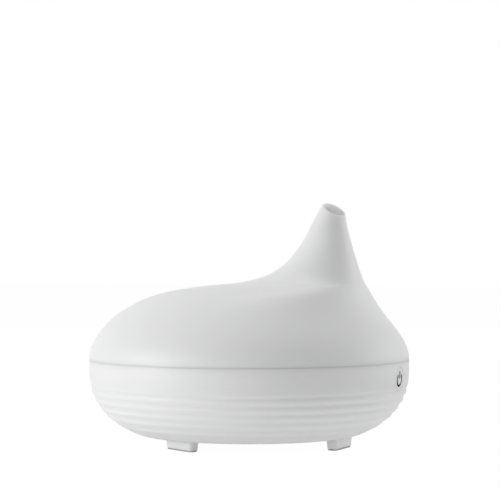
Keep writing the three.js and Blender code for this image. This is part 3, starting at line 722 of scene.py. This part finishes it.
# %% Shape the key
# Shares of the key's radius, and how far its rounded edge falls back there, in millimetres.
KEY_FACE = [(0.02, 0), (0.25, 0), (0.5, 0), (0.75, 0), (0.93, 0), (0.985, 0.05), (1, 0.16)]
# Radius and y of the flange and the stem behind the face, in millimetres.
KEY_BACK = [(5.9, -80.7), (6.85, -80.7), (6.85, -79.5), (1.6, -79.5), (1.6, -77.3)]


def key_face_y(x, z):
    """How far forward the body's outside is at a place on the key."""
    return -math.sqrt((float(base_radius(z)) - KEY_SUNK) ** 2 - x * x)


def key_circle(radius):
    """Points of (x, z) round the key's middle."""
    angles = np.linspace(0, 2 * math.pi, 96, endpoint=False)
    return [(radius * math.cos(a), KEY_Z + radius * math.sin(a)) for a in angles]


key_rings = []
for share, drop in KEY_FACE:
    ring = key_circle(KEY_R * share)
    key_rings.append([(x, key_face_y(x, z) + drop * MM, z) for x, z in ring])
for radius, y in KEY_BACK:
    key_rings.append([(x, y * MM, z) for x, z in key_circle(radius * MM)])
key_mesh = skin(key_rings, False)
finished(key_mesh, "key_cap", satin_white, "button", "power_button")

# %% Print the symbol
INK = 0.03 * MM
RING_R = 3.15 * MM
STROKE = 1.05 * MM
GAP_HALF = math.radians(42)
BAR_LOW, BAR_HIGH = 0.5 * MM, 4.35 * MM
SYMBOL_DROP = 0.45 * MM  # the bar rises above the ring, so both sit a little low


def together(*meshes):
    """Several meshes as one."""
    work = bmesh.new()
    for mesh in meshes:
        work.from_mesh(mesh)
    made = bpy.data.meshes.new("together")
    work.to_mesh(made)
    work.free()
    return made


def on_key(u, v, lift):
    """A point over the key's face, from its place on the face and its height above it."""
    z = KEY_Z + v
    return (u, key_face_y(u, z) - lift, z)


def ink_strip(path, width, count=5):
    """A thin closed layer of ink along a path of (u, v) points on the key's face."""
    path = np.asarray(path, float)
    way = np.gradient(path, axis=0)
    side = np.stack([-way[:, 1], way[:, 0]], 1) / np.linalg.norm(way, axis=1)[:, None]
    across = np.linspace(-width / 2, width / 2, count)
    rings = []
    for point, normal in zip(path, side):
        spots = [point + normal * w for w in across]
        over, under = [on_key(u, v, INK) for u, v in spots], [on_key(u, v, -INK) for u, v in spots]
        rings.append(over + under[::-1])
    return skin(rings, False)


ring_angles = np.linspace(math.pi / 2 + GAP_HALF, math.pi * 2.5 - GAP_HALF, 72)
ring_path = [(RING_R * math.cos(a), RING_R * math.sin(a) - SYMBOL_DROP) for a in ring_angles]
bar_path = [(0, v - SYMBOL_DROP) for v in np.linspace(BAR_LOW, BAR_HIGH, 12)]
symbol_mesh = together(*(ink_strip(path, STROKE) for path in (ring_path, bar_path)))
finished(symbol_mesh, "power_symbol", symbol_ink, "button")

# %% [markdown]
# ## Feet and pads
# Three block feet carry the body. Each is a rounded block whose top follows the underside, and
# whose sides draw in slightly towards the table. A thin rubber pad under each keeps it quiet.

# %% Shape the feet
FEET_CENTRE_Y = -4 * MM
FOOT_MIDDLE_R = 46.9 * MM
FOOT_ANGLES = {"front": -90, "rear_right": 30, "rear_left": 150}
FOOT_SIZE, PAD_SIZE = (23 * MM, 6.2 * MM), (22 * MM, 5.2 * MM)
FOOT_CORNER = 2.2 * MM
FOOT_EDGE_Z = 0.35 * MM  # the pads are let into the feet, and this much of them shows
FOOT_TAPER = 0.35 * MM
FOOT_EDGE = 0.9 * MM
PAD_LEVELS = [(0.2, 0), (0.05, 0.08), (0, 0.2), (0, 0.9)]  # how far in and how high, in mm


def underside(radius):
    """The height of the base's underside at a distance from the axis."""
    heights = np.linspace(0.5 * MM, WIDEST_Z, 600)
    return float(np.interp(radius, base_radius(heights), eased(heights)))


def rounded_rectangle(width, depth, corner, steps=8):
    """Points round a rectangle with round corners."""
    points = []
    for quarter, (sx, sy) in enumerate(((1, -1), (1, 1), (-1, 1), (-1, -1))):
        cx, cy = sx * (width / 2 - corner), sy * (depth / 2 - corner)
        for i in range(steps + 1):
            a = math.radians(-90 + 90 * quarter + 90 * i / steps)
            points.append((cx + corner * math.cos(a), cy + corner * math.sin(a)))
    return points


def foot_ring(angle, shrink, height, size=FOOT_SIZE):
    """One level of a foot: height is a number, or None for the top that meets the body."""
    turn = math.radians(angle)
    out, side = Vector((math.cos(turn), math.sin(turn))), Vector((-math.sin(turn), math.cos(turn)))
    centre = Vector((0, FEET_CENTRE_Y)) + out * FOOT_MIDDLE_R
    width, depth = size[0] - 2 * shrink, size[1] - 2 * shrink
    ring = []
    for s, d in rounded_rectangle(width, depth, FOOT_CORNER - shrink):
        at = centre + side * s + out * d
        top = underside(at.length) + 0.05 * MM
        ring.append((at.x, at.y, top if height is None else height))
    return ring


for name, angle in FOOT_ANGLES.items():
    levels = [foot_ring(angle, 0, None), foot_ring(angle, 0.05 * MM, 4.2 * MM)]
    for bend in np.radians(np.linspace(0, 90, 7)):
        shrink = FOOT_TAPER + FOOT_EDGE * (1 - math.cos(bend))
        levels.append(foot_ring(angle, shrink, FOOT_EDGE_Z + FOOT_EDGE * (1 - math.sin(bend))))
    node = f"foot_{name}"
    finished(skin(levels, False), f"block_{node}", satin_white, "base", node)
    levels = [foot_ring(angle, inset * MM, z * MM, PAD_SIZE) for inset, z in PAD_LEVELS]
    node = f"foot_pad_{name}"
    finished(skin(levels, False), f"rubber_{node}", pad_rubber, "base", node)


# %% [markdown]
# ## Finishes of the working pieces
# These use the same helper as the housing. Metals are brighter and take a finer grain, and the
# circuit boards get thin lighter tracks from a brick pattern laid on the real board, in metres.

# %% The finishes of the working pieces
seal_silicone = surface("seal_silicone", (0.6, 0.62, 0.63), 0.55, 0.0006, 0.00003, 0.04)
zinc_steel = surface("zinc_steel", (0.62, 0.61, 0.6), 0.34, 0.0004, 0.00001, 0.08, Metallic=1)
silvered = surface("silvered_metal", (0.8, 0.8, 0.79), 0.28, 0.0005, 0.00001, 0.05, Metallic=1)
fan_black = surface("fan_black", (0.018, 0.018, 0.02), 0.45, 0.0006, 0.00002, 0.15)
component_black = surface("component_black", (0.022, 0.022, 0.024), 0.5, 0.0005, 0.00002, 0.15)
can_sleeve = surface("can_sleeve", (0.012, 0.02, 0.055), 0.35, 0.0008, 0.00001, 0.15)
lead_black = surface("lead_black", (0.03, 0.03, 0.032), 0.55, 0.0006, 0.00002, 0.15)
copper_wire = surface("copper_wire", (0.72, 0.32, 0.13), 0.3, 0.0003, 0.00001, 0.12, Metallic=1)
board_green = surface("board_green", (0.012, 0.085, 0.035), 0.38, 0.0004, 0.00001, 0.12)


def add_tracks(made, color, pitch):
    """Thin tracks over a board's own colour, from a brick pattern with soft joints."""
    tree = made.node_tree
    shader = tree.nodes["Principled BSDF"]
    under = shader.inputs["Base Color"].links[0].from_socket
    place = add_node(tree, "ShaderNodeTexCoord").outputs["Object"]
    bricks = add_node(tree, "ShaderNodeTexBrick", Vector=place, Scale=1 / pitch)
    feed(tree, bricks, Mortar_Size=0.09, Mortar_Smooth=0.3, Brick_Width=2.6, Row_Height=0.8)
    over = add_node(tree, "ShaderNodeMix", {"data_type": "RGBA"}, i6=under, i7=(*color, 1))
    feed(tree, over, i0=bricks.outputs["Fac"])
    feed(tree, shader, Base_Color=over.outputs[2])


add_tracks(board_green, (0.05, 0.2, 0.09), 0.002)
print("working finishes:", len(bpy.data.materials), "materials in all")

# %% [markdown]
# ## More helpers
# The pieces inside are boxes with broken edges, stacks of circles, turned rings and leads. Their
# sizes are written in millimetres, as on a drawing, and the helpers turn them into metres.


# %% Boxes, stacks, rings and leads
def block(low, high, edge=0.2):
    """A box between two corners in millimetres, with its edges rounded off."""
    work = bmesh.new()
    bmesh.ops.create_cube(work, size=1)
    low, high = Vector(low) * MM, Vector(high) * MM
    for vertex in work.verts:
        vertex.co = [(a + b) / 2 + c * (b - a) for a, b, c in zip(low, high, vertex.co)]
    if edge:
        edges = work.edges[:]
        bmesh.ops.bevel(work, geom=edges, offset=edge * MM, segments=2, profile=0.5, affect="EDGES")
    mesh = bpy.data.meshes.new("block")
    work.to_mesh(mesh)
    work.free()
    return mesh


def stack(levels, centre=(0, 0), columns=64):
    """A closed stack of circles, from (radius, height) pairs in millimetres."""
    return solid_of_rings([circle(r, z, centre, columns) * MM for r, z in levels])


def pin(radius, low, high, centre=(0, 0), columns=48, edge=0.2):
    """An upright pin with softened ends, in millimetres."""
    ends = [(radius - edge, low), (radius, low + edge)]
    return stack(ends + [(radius, high - edge), (radius - edge, high)], centre, columns)


def round_ring(profile, centre=(0, 0), radius=0.3, columns=128, keep=()):
    """A ring turned from a closed profile in millimetres, with rounded corners."""
    made = rounded([(r * MM, z * MM) for r, z in profile], radius * MM, 4, keep)
    return turned(made, columns, (centre[0] * MM, centre[1] * MM))


def lead_mesh(points, radius, steps=48, columns=16):
    """A round lead along a smooth line through points in millimetres."""
    at = np.array(points) * MM
    knots = chord_knots(at)
    path = smooth_line(at, knots, (at[1] - at[0]) / knots[1])(np.linspace(0, knots[-1], steps))
    way = np.gradient(path, axis=0)
    way /= np.linalg.norm(way, axis=1)[:, None]
    angles = np.linspace(0, 2 * math.pi, columns, endpoint=False)[:, None]
    side = np.cross(way[0], (0.3, 0.5, 0.8))
    rings = []
    for point, along in zip(path, way):
        side = side - along * np.dot(side, along)
        side /= np.linalg.norm(side)
        other = np.cross(along, side)
        rings.append(point + radius * MM * (np.cos(angles) * side + np.sin(angles) * other))
    return solid_of_rings(rings)


def polar(radius, degrees, centre=(0, 0)):
    """The place at an angle on a circle."""
    a = math.radians(degrees)
    return (centre[0] + radius * math.cos(a), centre[1] + radius * math.sin(a))


print("helpers ready")

# %% [markdown]
# ## Screws as a node tree
# One pan-head screw with a cross in its head is built once. A tree then sets copies of it round a
# circle, and turns each by its own amount, because no two screws stop at the same angle.


# %% A pan-head screw
def screw_mesh(head_r, head_h, shank_r, length):
    """A screw that stands up from its head: the head's outer face is at zero, in millimetres."""
    head = [(head_r * 0.55, 0.0), (head_r * 0.8, 0.06), (head_r * 0.95, 0.25), (head_r, 0.5)]
    shank = [(head_r, head_h), (shank_r, head_h), (shank_r, length - 0.5), (shank_r * 0.4, length)]
    reach, half = head_r * 0.55, 0.24
    arms = [block((-x, -y, -0.5), (x, y, 0.55), 0) for x, y in ((reach, half), (half, reach))]
    return cut(stack(head + shank, columns=40), arms)


# %% A tree that sets screws round a circle
sizes = {"Radius": 0.01, "First_angle": 0.0, "Centre": ORIGIN, "Lay": ORIGIN}
screws, given = node_tree("screws", Count=3, **sizes, Seed=1)
points = add_node(screws, "GeometryNodePoints", Count=given["Count"])
number = add_node(screws, "GeometryNodeInputIndex")
part_turn = math_node(screws, "DIVIDE", 2 * math.pi, given["Count"])
angle = math_node(screws, "MULTIPLY_ADD", number, part_turn, given["First angle"])
x = math_node(screws, "MULTIPLY", math_node(screws, "COSINE", angle), given["Radius"])
y = math_node(screws, "MULTIPLY", math_node(screws, "SINE", angle), given["Radius"])
spot = vector_node(screws, "ADD", joined(screws, x, y), i1=given["Centre"])
placed = add_node(screws, "GeometryNodeSetPosition", Geometry=points, Position=spot)
piece, lay = given["Geometry"], given["Lay"]
copies = add_node(
    screws, "GeometryNodeInstanceOnPoints", Points=placed, Instance=piece, Rotation=lay
)
spin = add_node(screws, "FunctionNodeRandomValue", {"data_type": "FLOAT"}, Seed=given["Seed"])
feed(screws, spin, i3=2 * math.pi)
own_turn = joined(screws, z=spin.outputs[1])
spun = add_node(screws, "GeometryNodeRotateInstances", Instances=copies, Rotation=own_turn)
close_tree(screws, spun, given["Material"])

# %% Set the screws
FEET_Y, DISC_Y, FAN_Y, BOARD_Y = -4, -20, 16, -20  # the middles of groups of screws, in mm
HATCH_HOLES_R, FEET_HOLES_R, CLAMP_R = 40.4, 46.9, 14.2
FAN_HALF, BOARD_HALF, SWITCH_HALF, SWITCH_HOLES_Z = 12, 20.5, 7.7, 31.4
HATCH_Z, FOOT_Z = hatch_low.z / MM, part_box("foot_front")[0].z / MM
UPSIDE_DOWN, LYING = (180, 0, 0), (90, 0, 0)


def set_screws(name, shape, nodes, radius, first, centre, seed, lay=(0, 0, 0)):
    """Screws round a circle, one for each node, in millimetres and degrees, on the base."""
    made = run_tree(
        screw_mesh(*shape),
        screws,
        Count=len(nodes),
        Radius=radius * MM,
        First_angle=math.radians(first),
        Centre=tuple(c * MM for c in centre),
        Lay=tuple(math.radians(turn) for turn in lay),
        Seed=seed,
        Material=zinc_steel,
    )
    finished(made, name, zinc_steel, "base", nodes)


def numbered(stem, count):
    """The names of a group's screws, which are numbered from one."""
    return [f"{stem}_screw_{i + 1}" for i in range(count)]


feet = [f"foot_screw_{name}" for name in FOOT_ANGLES]
plate_at, feet_at = (0, FEET_Y, HATCH_Z + 0.05), (0, FEET_Y, FOOT_Z + 0.1)
clamp_at, fan_at, board_at = (0, DISC_Y, 20.4), (0, FAN_Y, 21.2), (0, BOARD_Y, 13.3)
set_screws("hatch_screws", (1.9, 1, 0.9, 4.6), numbered("cover", 4), HATCH_HOLES_R, 45, plate_at, 3)
set_screws("feet_screws", (1.9, 1.3, 0.95, 15), feet, FEET_HOLES_R, 30, feet_at, 5)
set_screws("clamp_screws", (1.8, 1.1, 0.75, 5.8), numbered("clamp", 3), CLAMP_R, 90, clamp_at, 7)
shape, fan_r = (1.9, 1.2, 0.9, 12.8), FAN_HALF * math.sqrt(2)
set_screws("fan_screws", shape, numbered("fan", 2), fan_r, 45, fan_at, 11, UPSIDE_DOWN)
shape = (1.9, 1.2, 0.9, 5.6)
set_screws("board_screws", shape, numbered("board", 2), BOARD_HALF, 0, board_at, 13, UPSIDE_DOWN)
shape, switch_at = (1.5, 0.9, 0.6, 6.6), (0, -69.9, SWITCH_HOLES_Z)
set_screws("switch_screws", shape, numbered("switch", 2), SWITCH_HALF, 0, switch_at, 17, LYING)

# %% [markdown]
# ## The bottom cover and its grille
# The fan draws its air through slots in the round bottom cover. The slots are equal bars on an
# even pitch, trimmed by a circle, so a tree lays them out and trims them before they are cut.

# %% The slots as a node tree
sizes = {"Pitch": 0.004, "Width": 0.002, "Grille_radius": 0.013}
slots, given = node_tree("slots", Count=7, **sizes, Centre=ORIGIN)
last = math_node(slots, "SUBTRACT", given["Count"], 1)
first_y = math_node(slots, "MULTIPLY", math_node(slots, "MULTIPLY", last, given["Pitch"]), -0.5)
start = vector_node(slots, "ADD", joined(slots, y=first_y), i1=given["Centre"])
rows = add_node(slots, "GeometryNodeMeshLine", Count=given["Count"], Start_Location=start)
feed(slots, rows, Offset=joined(slots, y=given["Pitch"]))
length = math_node(slots, "MULTIPLY", given["Grille radius"], 2.5)
one_slot = add_node(slots, "GeometryNodeMeshCube", Size=joined(slots, length, given["Width"], 0.01))
laid = add_node(slots, "GeometryNodeInstanceOnPoints", Points=rows, Instance=one_slot)
lines = add_node(slots, "GeometryNodeRealizeInstances", Geometry=laid)
disc = add_node(slots, "GeometryNodeMeshCylinder", Vertices=96, Radius=given["Grille radius"])
feed(slots, disc, Depth=0.008)
disc_at = add_node(slots, "GeometryNodeTransform", Geometry=disc, Translation=given["Centre"])
trimmed = add_node(slots, "GeometryNodeMeshBoolean", {"operation": "INTERSECT", "solver": "EXACT"})
feed(slots, trimmed, i1=lines)
feed(slots, trimmed, i1=disc_at)
close_tree(slots, trimmed, given["Material"])

# %% The bottom cover
grille_at = (0, FAN_Y * MM, 6 * MM)
grille = {"Count": 7, "Pitch": 4.2 * MM, "Width": 2.2 * MM, "Grille_radius": 13 * MM}
slot_mesh = run_tree(None, slots, **grille, Centre=grille_at, Material=satin_white)
edge = [(41.5, HATCH_Z), (42.0, HATCH_Z + 0.1), (42.2, HATCH_Z + 0.4), (42.2, HATCH_TOP_Z / MM)]
plate = stack(edge, (0, FEET_Y), 192)
fan_places = [(sx * FAN_HALF, FAN_Y + sy * FAN_HALF) for sx in (-1, 1) for sy in (-1, 1)]
board_places = [(x, BOARD_Y) for x in (-BOARD_HALF, BOARD_HALF)]
posts = [pin(2.4, 6, 9.4, at, 32) for at in fan_places]
posts += [pin(2.4, 6, 9.9, at, 32) for at in board_places]
hatch_places = [polar(HATCH_HOLES_R, a, (0, FEET_Y)) for a in (45, 135, 225, 315)]
holes = [stack([(1.3, 3), (1.3, 8)], at, 32) for at in hatch_places]
holes += [stack([(2.3, 3), (2.3, HATCH_Z + 1.3)], at, 48) for at in hatch_places]
screw_places = board_places + [fan_places[3], fan_places[0]]
holes += [stack([(1.2, 7.4), (1.2, 12)], at, 24) for at in screw_places]
hatch_mesh = cut(cut(plate, posts, "UNION"), [slot_mesh, *holes])
finished(hatch_mesh, "round_hatch", satin_white, "base", "bottom_cover")

# %% [markdown]
# ## The water tank and the way up for the air
# The tank is a shallow bowl that hangs from a flange, with a collar that the cover slips over. The
# fan's air rises through the chimney, whose cap keeps drops from falling back down it.

# %% The tank
bowl_profile = [(HAIR, 27), (57, 27), (62.5, 28.3), (66, 31.5), (67, 36), (67, 43.3)]
bowl_profile += [(81.2, 43.3), (81.2, 44.9), (80.3, 44.9), (80.3, 49.5), (78.9, 49.5)]  # flange
bowl_profile += [(78.9, 44.9), (65, 44.9), (65, 36.4), (64, 32.5), (61, 30), (56.5, 29), (HAIR, 29)]
bowl = faces_out(round_ring(bowl_profile, (0, 0), 0.35, 192, (0, len(bowl_profile) - 1)))
chimney = stack([(9.5, 28), (9.5, 53.5), (9.35, 53.85), (9, 54)], (0, FAN_Y), 96)
foot_places = [polar(FEET_HOLES_R, a, (0, FEET_Y)) for a in FOOT_ANGLES.values()]
clamp_places = [polar(CLAMP_R, a, (0, DISC_Y)) for a in (90, 210, 330)]
tank_posts = [stack([(3.4, 9.8), (3.4, 28)], at, 40) for at in foot_places]
tank_posts += [stack([(2, 23.6), (2, 28)], at, 32) for at in clamp_places]
bores = [stack([(7.5, 20), (7.5, 60)], (0, FAN_Y), 96), stack([(9, 20), (9, 32)], (0, DISC_Y), 96)]
bores += [stack([(1.25, 5), (1.25, 18)], at, 24) for at in foot_places]
bores += [stack([(1.05, 20), (1.05, 26.6)], at, 24) for at in clamp_places]
tank_mesh = cut(cut(bowl, [chimney, *tank_posts], "UNION"), bores)
finished(tank_mesh, "bowl_tank", inner_white, "base", "water_tank")

# %% The chimney's cap and the splash guard
roof_profile = [(HAIR, 57.4), (12.2, 57.4), (12.2, 58.4), (6, 60.2), (HAIR, 60.6)]
roof = round_ring(roof_profile, (0, FAN_Y), 0.3, 96, (0, 4))
cap_legs = [pin(0.9, 48, 58, polar(10.8, a, (0, FAN_Y)), 24) for a in (90, 210, 330)]
finished(together(roof, *cap_legs), "drip_cap", inner_white, "base", "chimney_cap")

GUARD = (0, -40)
SPOKE_R, SPOKE_Z = 0.55 * MM, 75.6 * MM
collar = round_ring([(16.2, 89.2), (17.6, 89.2), (17.6, 92.2), (16.2, 92.2)], GUARD, 0.3)
shield_profile = [(HAIR, 75.6), (12.5, 75), (12.5, 76), (HAIR, 77.4)]
guard_parts = [collar, round_ring(shield_profile, GUARD, 0.3, 96, (0, 3))]
for a in (90, 210, 330):
    leg, inner = polar(16.9, a, GUARD), polar(11, a, GUARD)
    guard_parts.append(pin(0.7, 75.2, 91, leg, 24))
    ends = [(x * MM, y * MM, SPOKE_Z) for x, y in (leg, inner)]
    guard_parts.append(bar(SPOKE_R, *ends, 20))
guard_mesh = together(*guard_parts)
finished(guard_mesh, "mist_guard", inner_white, "cover", "splash_guard")

# %% [markdown]
# ## The transducer
# A thin silvered disc shakes the water into mist. A silicone ring seals it to the tank, and a
# steel ring clamps it from below.

# %% The disc, its seal and its clamp
disc_mesh = pin(10.3, 24.9, 25.8, (0, DISC_Y), 96, 0.1)
finished(disc_mesh, "mist_disc", silvered, "base", "transducer_disc")
seal_profile = [(8.3, 26.7), (11.9, 26.7), (11.9, 23.6), (8.3, 23.6)]
seal_profile += [(8.3, 24.6), (10.6, 24.6), (10.6, 26.1), (8.3, 26.1)]  # the groove for the disc
seal_mesh = round_ring(seal_profile, (0, DISC_Y), 0.15, 96)
finished(seal_mesh, "silicone_ring", seal_silicone, "base", "transducer_seal")
clamp_profile = [(8, 21.8), (16.5, 21.8), (16.5, 23.3), (8, 23.3)]
clamp_mesh = faces_out(round_ring(clamp_profile, (0, DISC_Y), 0.25, 96))
clamp_mesh = cut(clamp_mesh, [stack([(1.3, 20), (1.3, 25)], at, 24) for at in clamp_places])
finished(clamp_mesh, "clamp_ring", zinc_steel, "base", "transducer_clamp")

# %% [markdown]
# ## The fan
# The frame is a square with a round bore, a motor seat and four struts. The rotor's blades are
# copies of one twisted blade, turned round the hub by a tree.


# %% The fan's frame and hood
def square_ring(half, z, corner):
    """One level of a square with round corners about the fan's middle, in millimetres."""
    side = 2 * half * MM
    return [(x, y + FAN_Y * MM, z * MM) for x, y in rounded_rectangle(side, side, corner * MM)]


frame_levels = [(14.7, 9.7, 1.7), (15, 10, 2), (15, 19.4, 2), (14.7, 19.7, 1.7)]
fan_block = solid_of_rings([square_ring(*level) for level in frame_levels])
fan_block = cut(fan_block, [stack([(14, 5), (14, 25)], (0, FAN_Y), 96)])
seat_and_struts = [
    pin(7.6, 9.7, 11.2, (0, FAN_Y), 64),
    block((-14.5, FAN_Y - 1, 9.7), (14.5, FAN_Y + 1, 10.9), 0.15),
    block((-1, FAN_Y - 14.5, 9.7), (1, FAN_Y + 14.5, 10.9), 0.15),
]
fan_holes = [stack([(1.4, 5), (1.4, 25)], at, 24) for at in fan_places]
fan_mesh = cut(cut(fan_block, seat_and_struts, "UNION"), fan_holes)
finished(fan_mesh, "square_fan_frame", fan_black, "base", "fan_frame")
hood_profile = [(13.2, 20), (14.4, 20), (14.4, 24.6), (10, 26.7)]
hood_profile += [(7.5, 26.7), (7.5, 25.2), (13.2, 23.8)]
hood_mesh = round_ring(hood_profile, (0, FAN_Y), 0.25, 96)
finished(hood_mesh, "air_hood", inner_white, "base", "fan_hood")

# %% One blade, and a tree that turns it round the hub
blades, given = node_tree("blades", Count=7, Centre=ORIGIN)
count, centre = given["Count"], given["Centre"]
points = add_node(blades, "GeometryNodePoints", Count=count, Position=centre)
number = add_node(blades, "GeometryNodeInputIndex")
part_turn = math_node(blades, "DIVIDE", 2 * math.pi, count)
angle = joined(blades, z=math_node(blades, "MULTIPLY", number, part_turn))
copies = add_node(blades, "GeometryNodeInstanceOnPoints", Points=points, Rotation=angle)
feed(blades, copies, Instance=given["Geometry"])
close_tree(blades, copies, given["Material"])

HUB_R, TIP_R, BLADE_Z = 7.6, 13.2, 15.4
BLADE_SECTION = [(-3.3, 0.12), (-1.6, 0.38), (0.6, 0.4), (2.4, 0.3), (3.3, 0.12)]  # z, half depth


def blade_mesh():
    """A twisted blade that points along +X from the hub, with a thin leading edge."""
    rings = []
    for radius in np.linspace(HUB_R, TIP_R, 10):
        line = [(0.42 * z + 0.04 * z * z, z + BLADE_Z, half) for z, half in BLADE_SECTION]
        ring = [(radius, y - half, z) for y, z, half in line]
        ring += [(radius, y + half, z) for y, z, half in line[::-1]]
        rings.append([(x * MM, y * MM, z * MM) for x, y, z in ring])
    return solid_of_rings(rings)


seven = run_tree(blade_mesh(), blades, Count=7, Centre=(0, FAN_Y * MM, 0), Material=fan_black)
hub = pin(8, 11.7, 19.1, (0, FAN_Y), 80, 0.5)
finished(together(hub, seven), "bladed_rotor", fan_black, "fan", "fan_rotor")

# %% [markdown]
# ## The circuit board
# The board carries the driver of the transducer: a coil, two capacitors, a transistor on its heat
# sink, a control chip, and a socket for each of the leads.


# %% The boards and the simple components
def node_block(name, node, material, edge):
    """A component that fills its node's own box, with its edges rounded off."""
    finished(block(*box_mm(node), edge), name, material, "base", node)


board_holes = [stack([(1.3, 8), (1.3, 14)], at, 32) for at in board_places]
board_mesh = cut(block(*box_mm("main_board"), 0.12), board_holes)
finished(board_mesh, "driver_board", board_green, "base", "main_board")
node_block("chip_body", "control_chip", component_black, 0.15)
node_block("transistor_body", "transistor", component_black, 0.25)
can_levels = [(2.9, 12.1), (3.15, 12.3), (3.15, 12.9), (2.98, 13.1), (3.15, 13.3), (3.15, 18.4)]
can_levels += [(2.95, 18.65), (2.3, 18.7), (2.25, 18.55), (0.1, 18.55)]  # its bare silvered top
for i, x in ((1, -3.8), (2, 3.8)):
    can = stack(can_levels, (x, -11), 48)
    can = finished(can, f"can_{i}", can_sleeve, "base", f"capacitor_{i}")
    second_finish(can, silvered, lambda face: face.center.z > 18.5 * MM)
for node in ("fan_socket", "disc_socket", "power_socket"):
    low, high = box_mm(node)
    well = block((low.x + 0.8, low.y + 0.8, 13.6), (high.x - 0.8, high.y - 0.8, 20), 0)
    socket_mesh = cut(block(low, high, 0.15), [well])
    finished(socket_mesh, f"{node}_body", inner_white, "base", node)


# %% The coil's winding as a node tree
sizes = {"Turns": 9.0, "Radius": 0.0035, "Height": 0.004, "Wire_radius": 0.0002}
winding, given = node_tree("winding", **sizes, Centre=ORIGIN)
radius = given["Radius"]
coil = add_node(winding, "GeometryNodeCurveSpiral", Resolution=40, Rotations=given["Turns"])
feed(winding, coil, Start_Radius=radius, End_Radius=radius, Height=given["Height"])
wire = add_node(winding, "GeometryNodeCurvePrimitiveCircle", Resolution=10)
feed(winding, wire, Radius=given["Wire radius"])
wound = add_node(winding, "GeometryNodeCurveToMesh", Curve=coil, Profile_Curve=wire, Fill_Caps=True)
moved = add_node(winding, "GeometryNodeTransform", Geometry=wound, Translation=given["Centre"])
close_tree(winding, moved, given["Material"])

COIL = (-16, -28)
sizes = {"Turns": 9.0, "Radius": 3.4 * MM, "Height": 3.7 * MM, "Wire_radius": 0.2 * MM}
coil_at = (COIL[0] * MM, COIL[1] * MM, 13.25 * MM)
copper = run_tree(None, winding, **sizes, Centre=coil_at, Material=copper_wire)
finished(copper, "coil_winding", copper_wire, "base")
low_rim, high_rim = pin(4.6, 12.1, 13.1, COIL, 64), pin(4.6, 17.1, 18.1, COIL, 64)
bobbin_mesh = together(low_rim, pin(3.2, 12.5, 17.8, COIL), high_rim)
finished(bobbin_mesh, "coil_bobbin", component_black, "base", "inductor")

# %% The heat sink's fins as a node tree
fins, given = node_tree("fins", Count=4, Pitch=0.003, Start=ORIGIN)
line = add_node(fins, "GeometryNodeMeshLine", Count=given["Count"], Start_Location=given["Start"])
feed(fins, line, Offset=joined(fins, given["Pitch"]))
copies = add_node(fins, "GeometryNodeInstanceOnPoints", Points=line, Instance=given["Geometry"])
close_tree(fins, copies, given["Material"])

one_fin = block((-0.5, -1.7, 0), (0.5, 1.7, 7), 0.15)
first_fin = (10.5 * MM, -29.3 * MM, 12.1 * MM)
four = run_tree(one_fin, fins, Count=4, Pitch=3 * MM, Start=first_fin, Material=silvered)
sink_mesh = together(four, block((10, -31.6, 12.1), (20, -30, 19.1), 0.15))
finished(sink_mesh, "finned_sink", silvered, "base", "heat_sink")

# %% [markdown]
# ## The power inlet, the switch and the leads
# The inlet's round nose shows in the hole at the back, with the pin inside. The key's stem presses
# a small switch on its own upright board.

# %% The inlet
JACK_MM = JACK_Z / MM


def along_y(radius, start, end, z, columns=64, x=0):
    """A bar along Y, in millimetres."""
    return bar(radius * MM, (x * MM, start * MM, z * MM), (x * MM, end * MM, z * MM), columns)


def on_the_pin(face):
    """Whether a face is on the bare metal pin in the middle of the inlet."""
    across = math.hypot(face.center.x, face.center.z - JACK_Z)
    return across < 1 * MM and face.center.y > 66.2 * MM


jack_body = block((-4.5, 60, JACK_MM - 4.5), (4.5, 71, JACK_MM + 4.5), 0.3)
jack_mesh = cut(jack_body, [along_y(4.4, 70, 77.2, JACK_MM)], "UNION")
jack_mesh = cut(jack_mesh, [along_y(3.2, 66, 80, JACK_MM)])
jack_mesh = together(jack_mesh, along_y(0.9, 65.5, 73.2, JACK_MM, 32))
jack = finished(jack_mesh, "power_inlet", component_black, "base", "dc_jack")
second_finish(jack, silvered, on_the_pin)

# %% The switch, its board and the plunger
key_mm = KEY_Z / MM
switch_mesh = cut(block(*box_mm("tact_switch")), [along_y(2.1, -80, -73.8, key_mm, 48)])
finished(switch_mesh, "dome_switch", zinc_steel, "base", "tact_switch")
plunger = along_y(1.75, -77, -74.6, key_mm, 40)
finished(plunger, "dome_plunger", component_black, "button", "switch_plunger")
small_holes = [along_y(1.2, -75, -70, SWITCH_HOLES_Z, 24, x) for x in (-SWITCH_HALF, SWITCH_HALF)]
small_mesh = cut(block(*box_mm("switch_board"), 0.12), small_holes)
finished(small_mesh, "upright_board", board_green, "base", "switch_board")

# %% The leads
LEAD_R = 0.95
LEADS = {
    "fan_lead": [(-16.4, 8, 15), (-18.4, 3, 18), (-17, -7, 21.4), (-15, -10.5, 18)],
    "disc_lead": [(-1, -20, 24.2), (-1, -20.6, 21.4), (-2, -27, 21), (-2.5, -29.6, 18)],
    "power_lead": [(0, 58.6, 20), (3, 55, 18), (22, 40, 12), (27, 14, 12)],
    "switch_lead": [(3.5, -69.5, 31), (4.5, -67, 22), (7, -58, 15), (7, -44, 12), (6, -34.6, 11)],
}
LEADS["power_lead"] += [(20, -5, 21), (15, -10.5, 18)]
for node, points in LEADS.items():
    finished(lead_mesh(points, LEAD_R), f"{node}_wire", lead_black, "base", node)
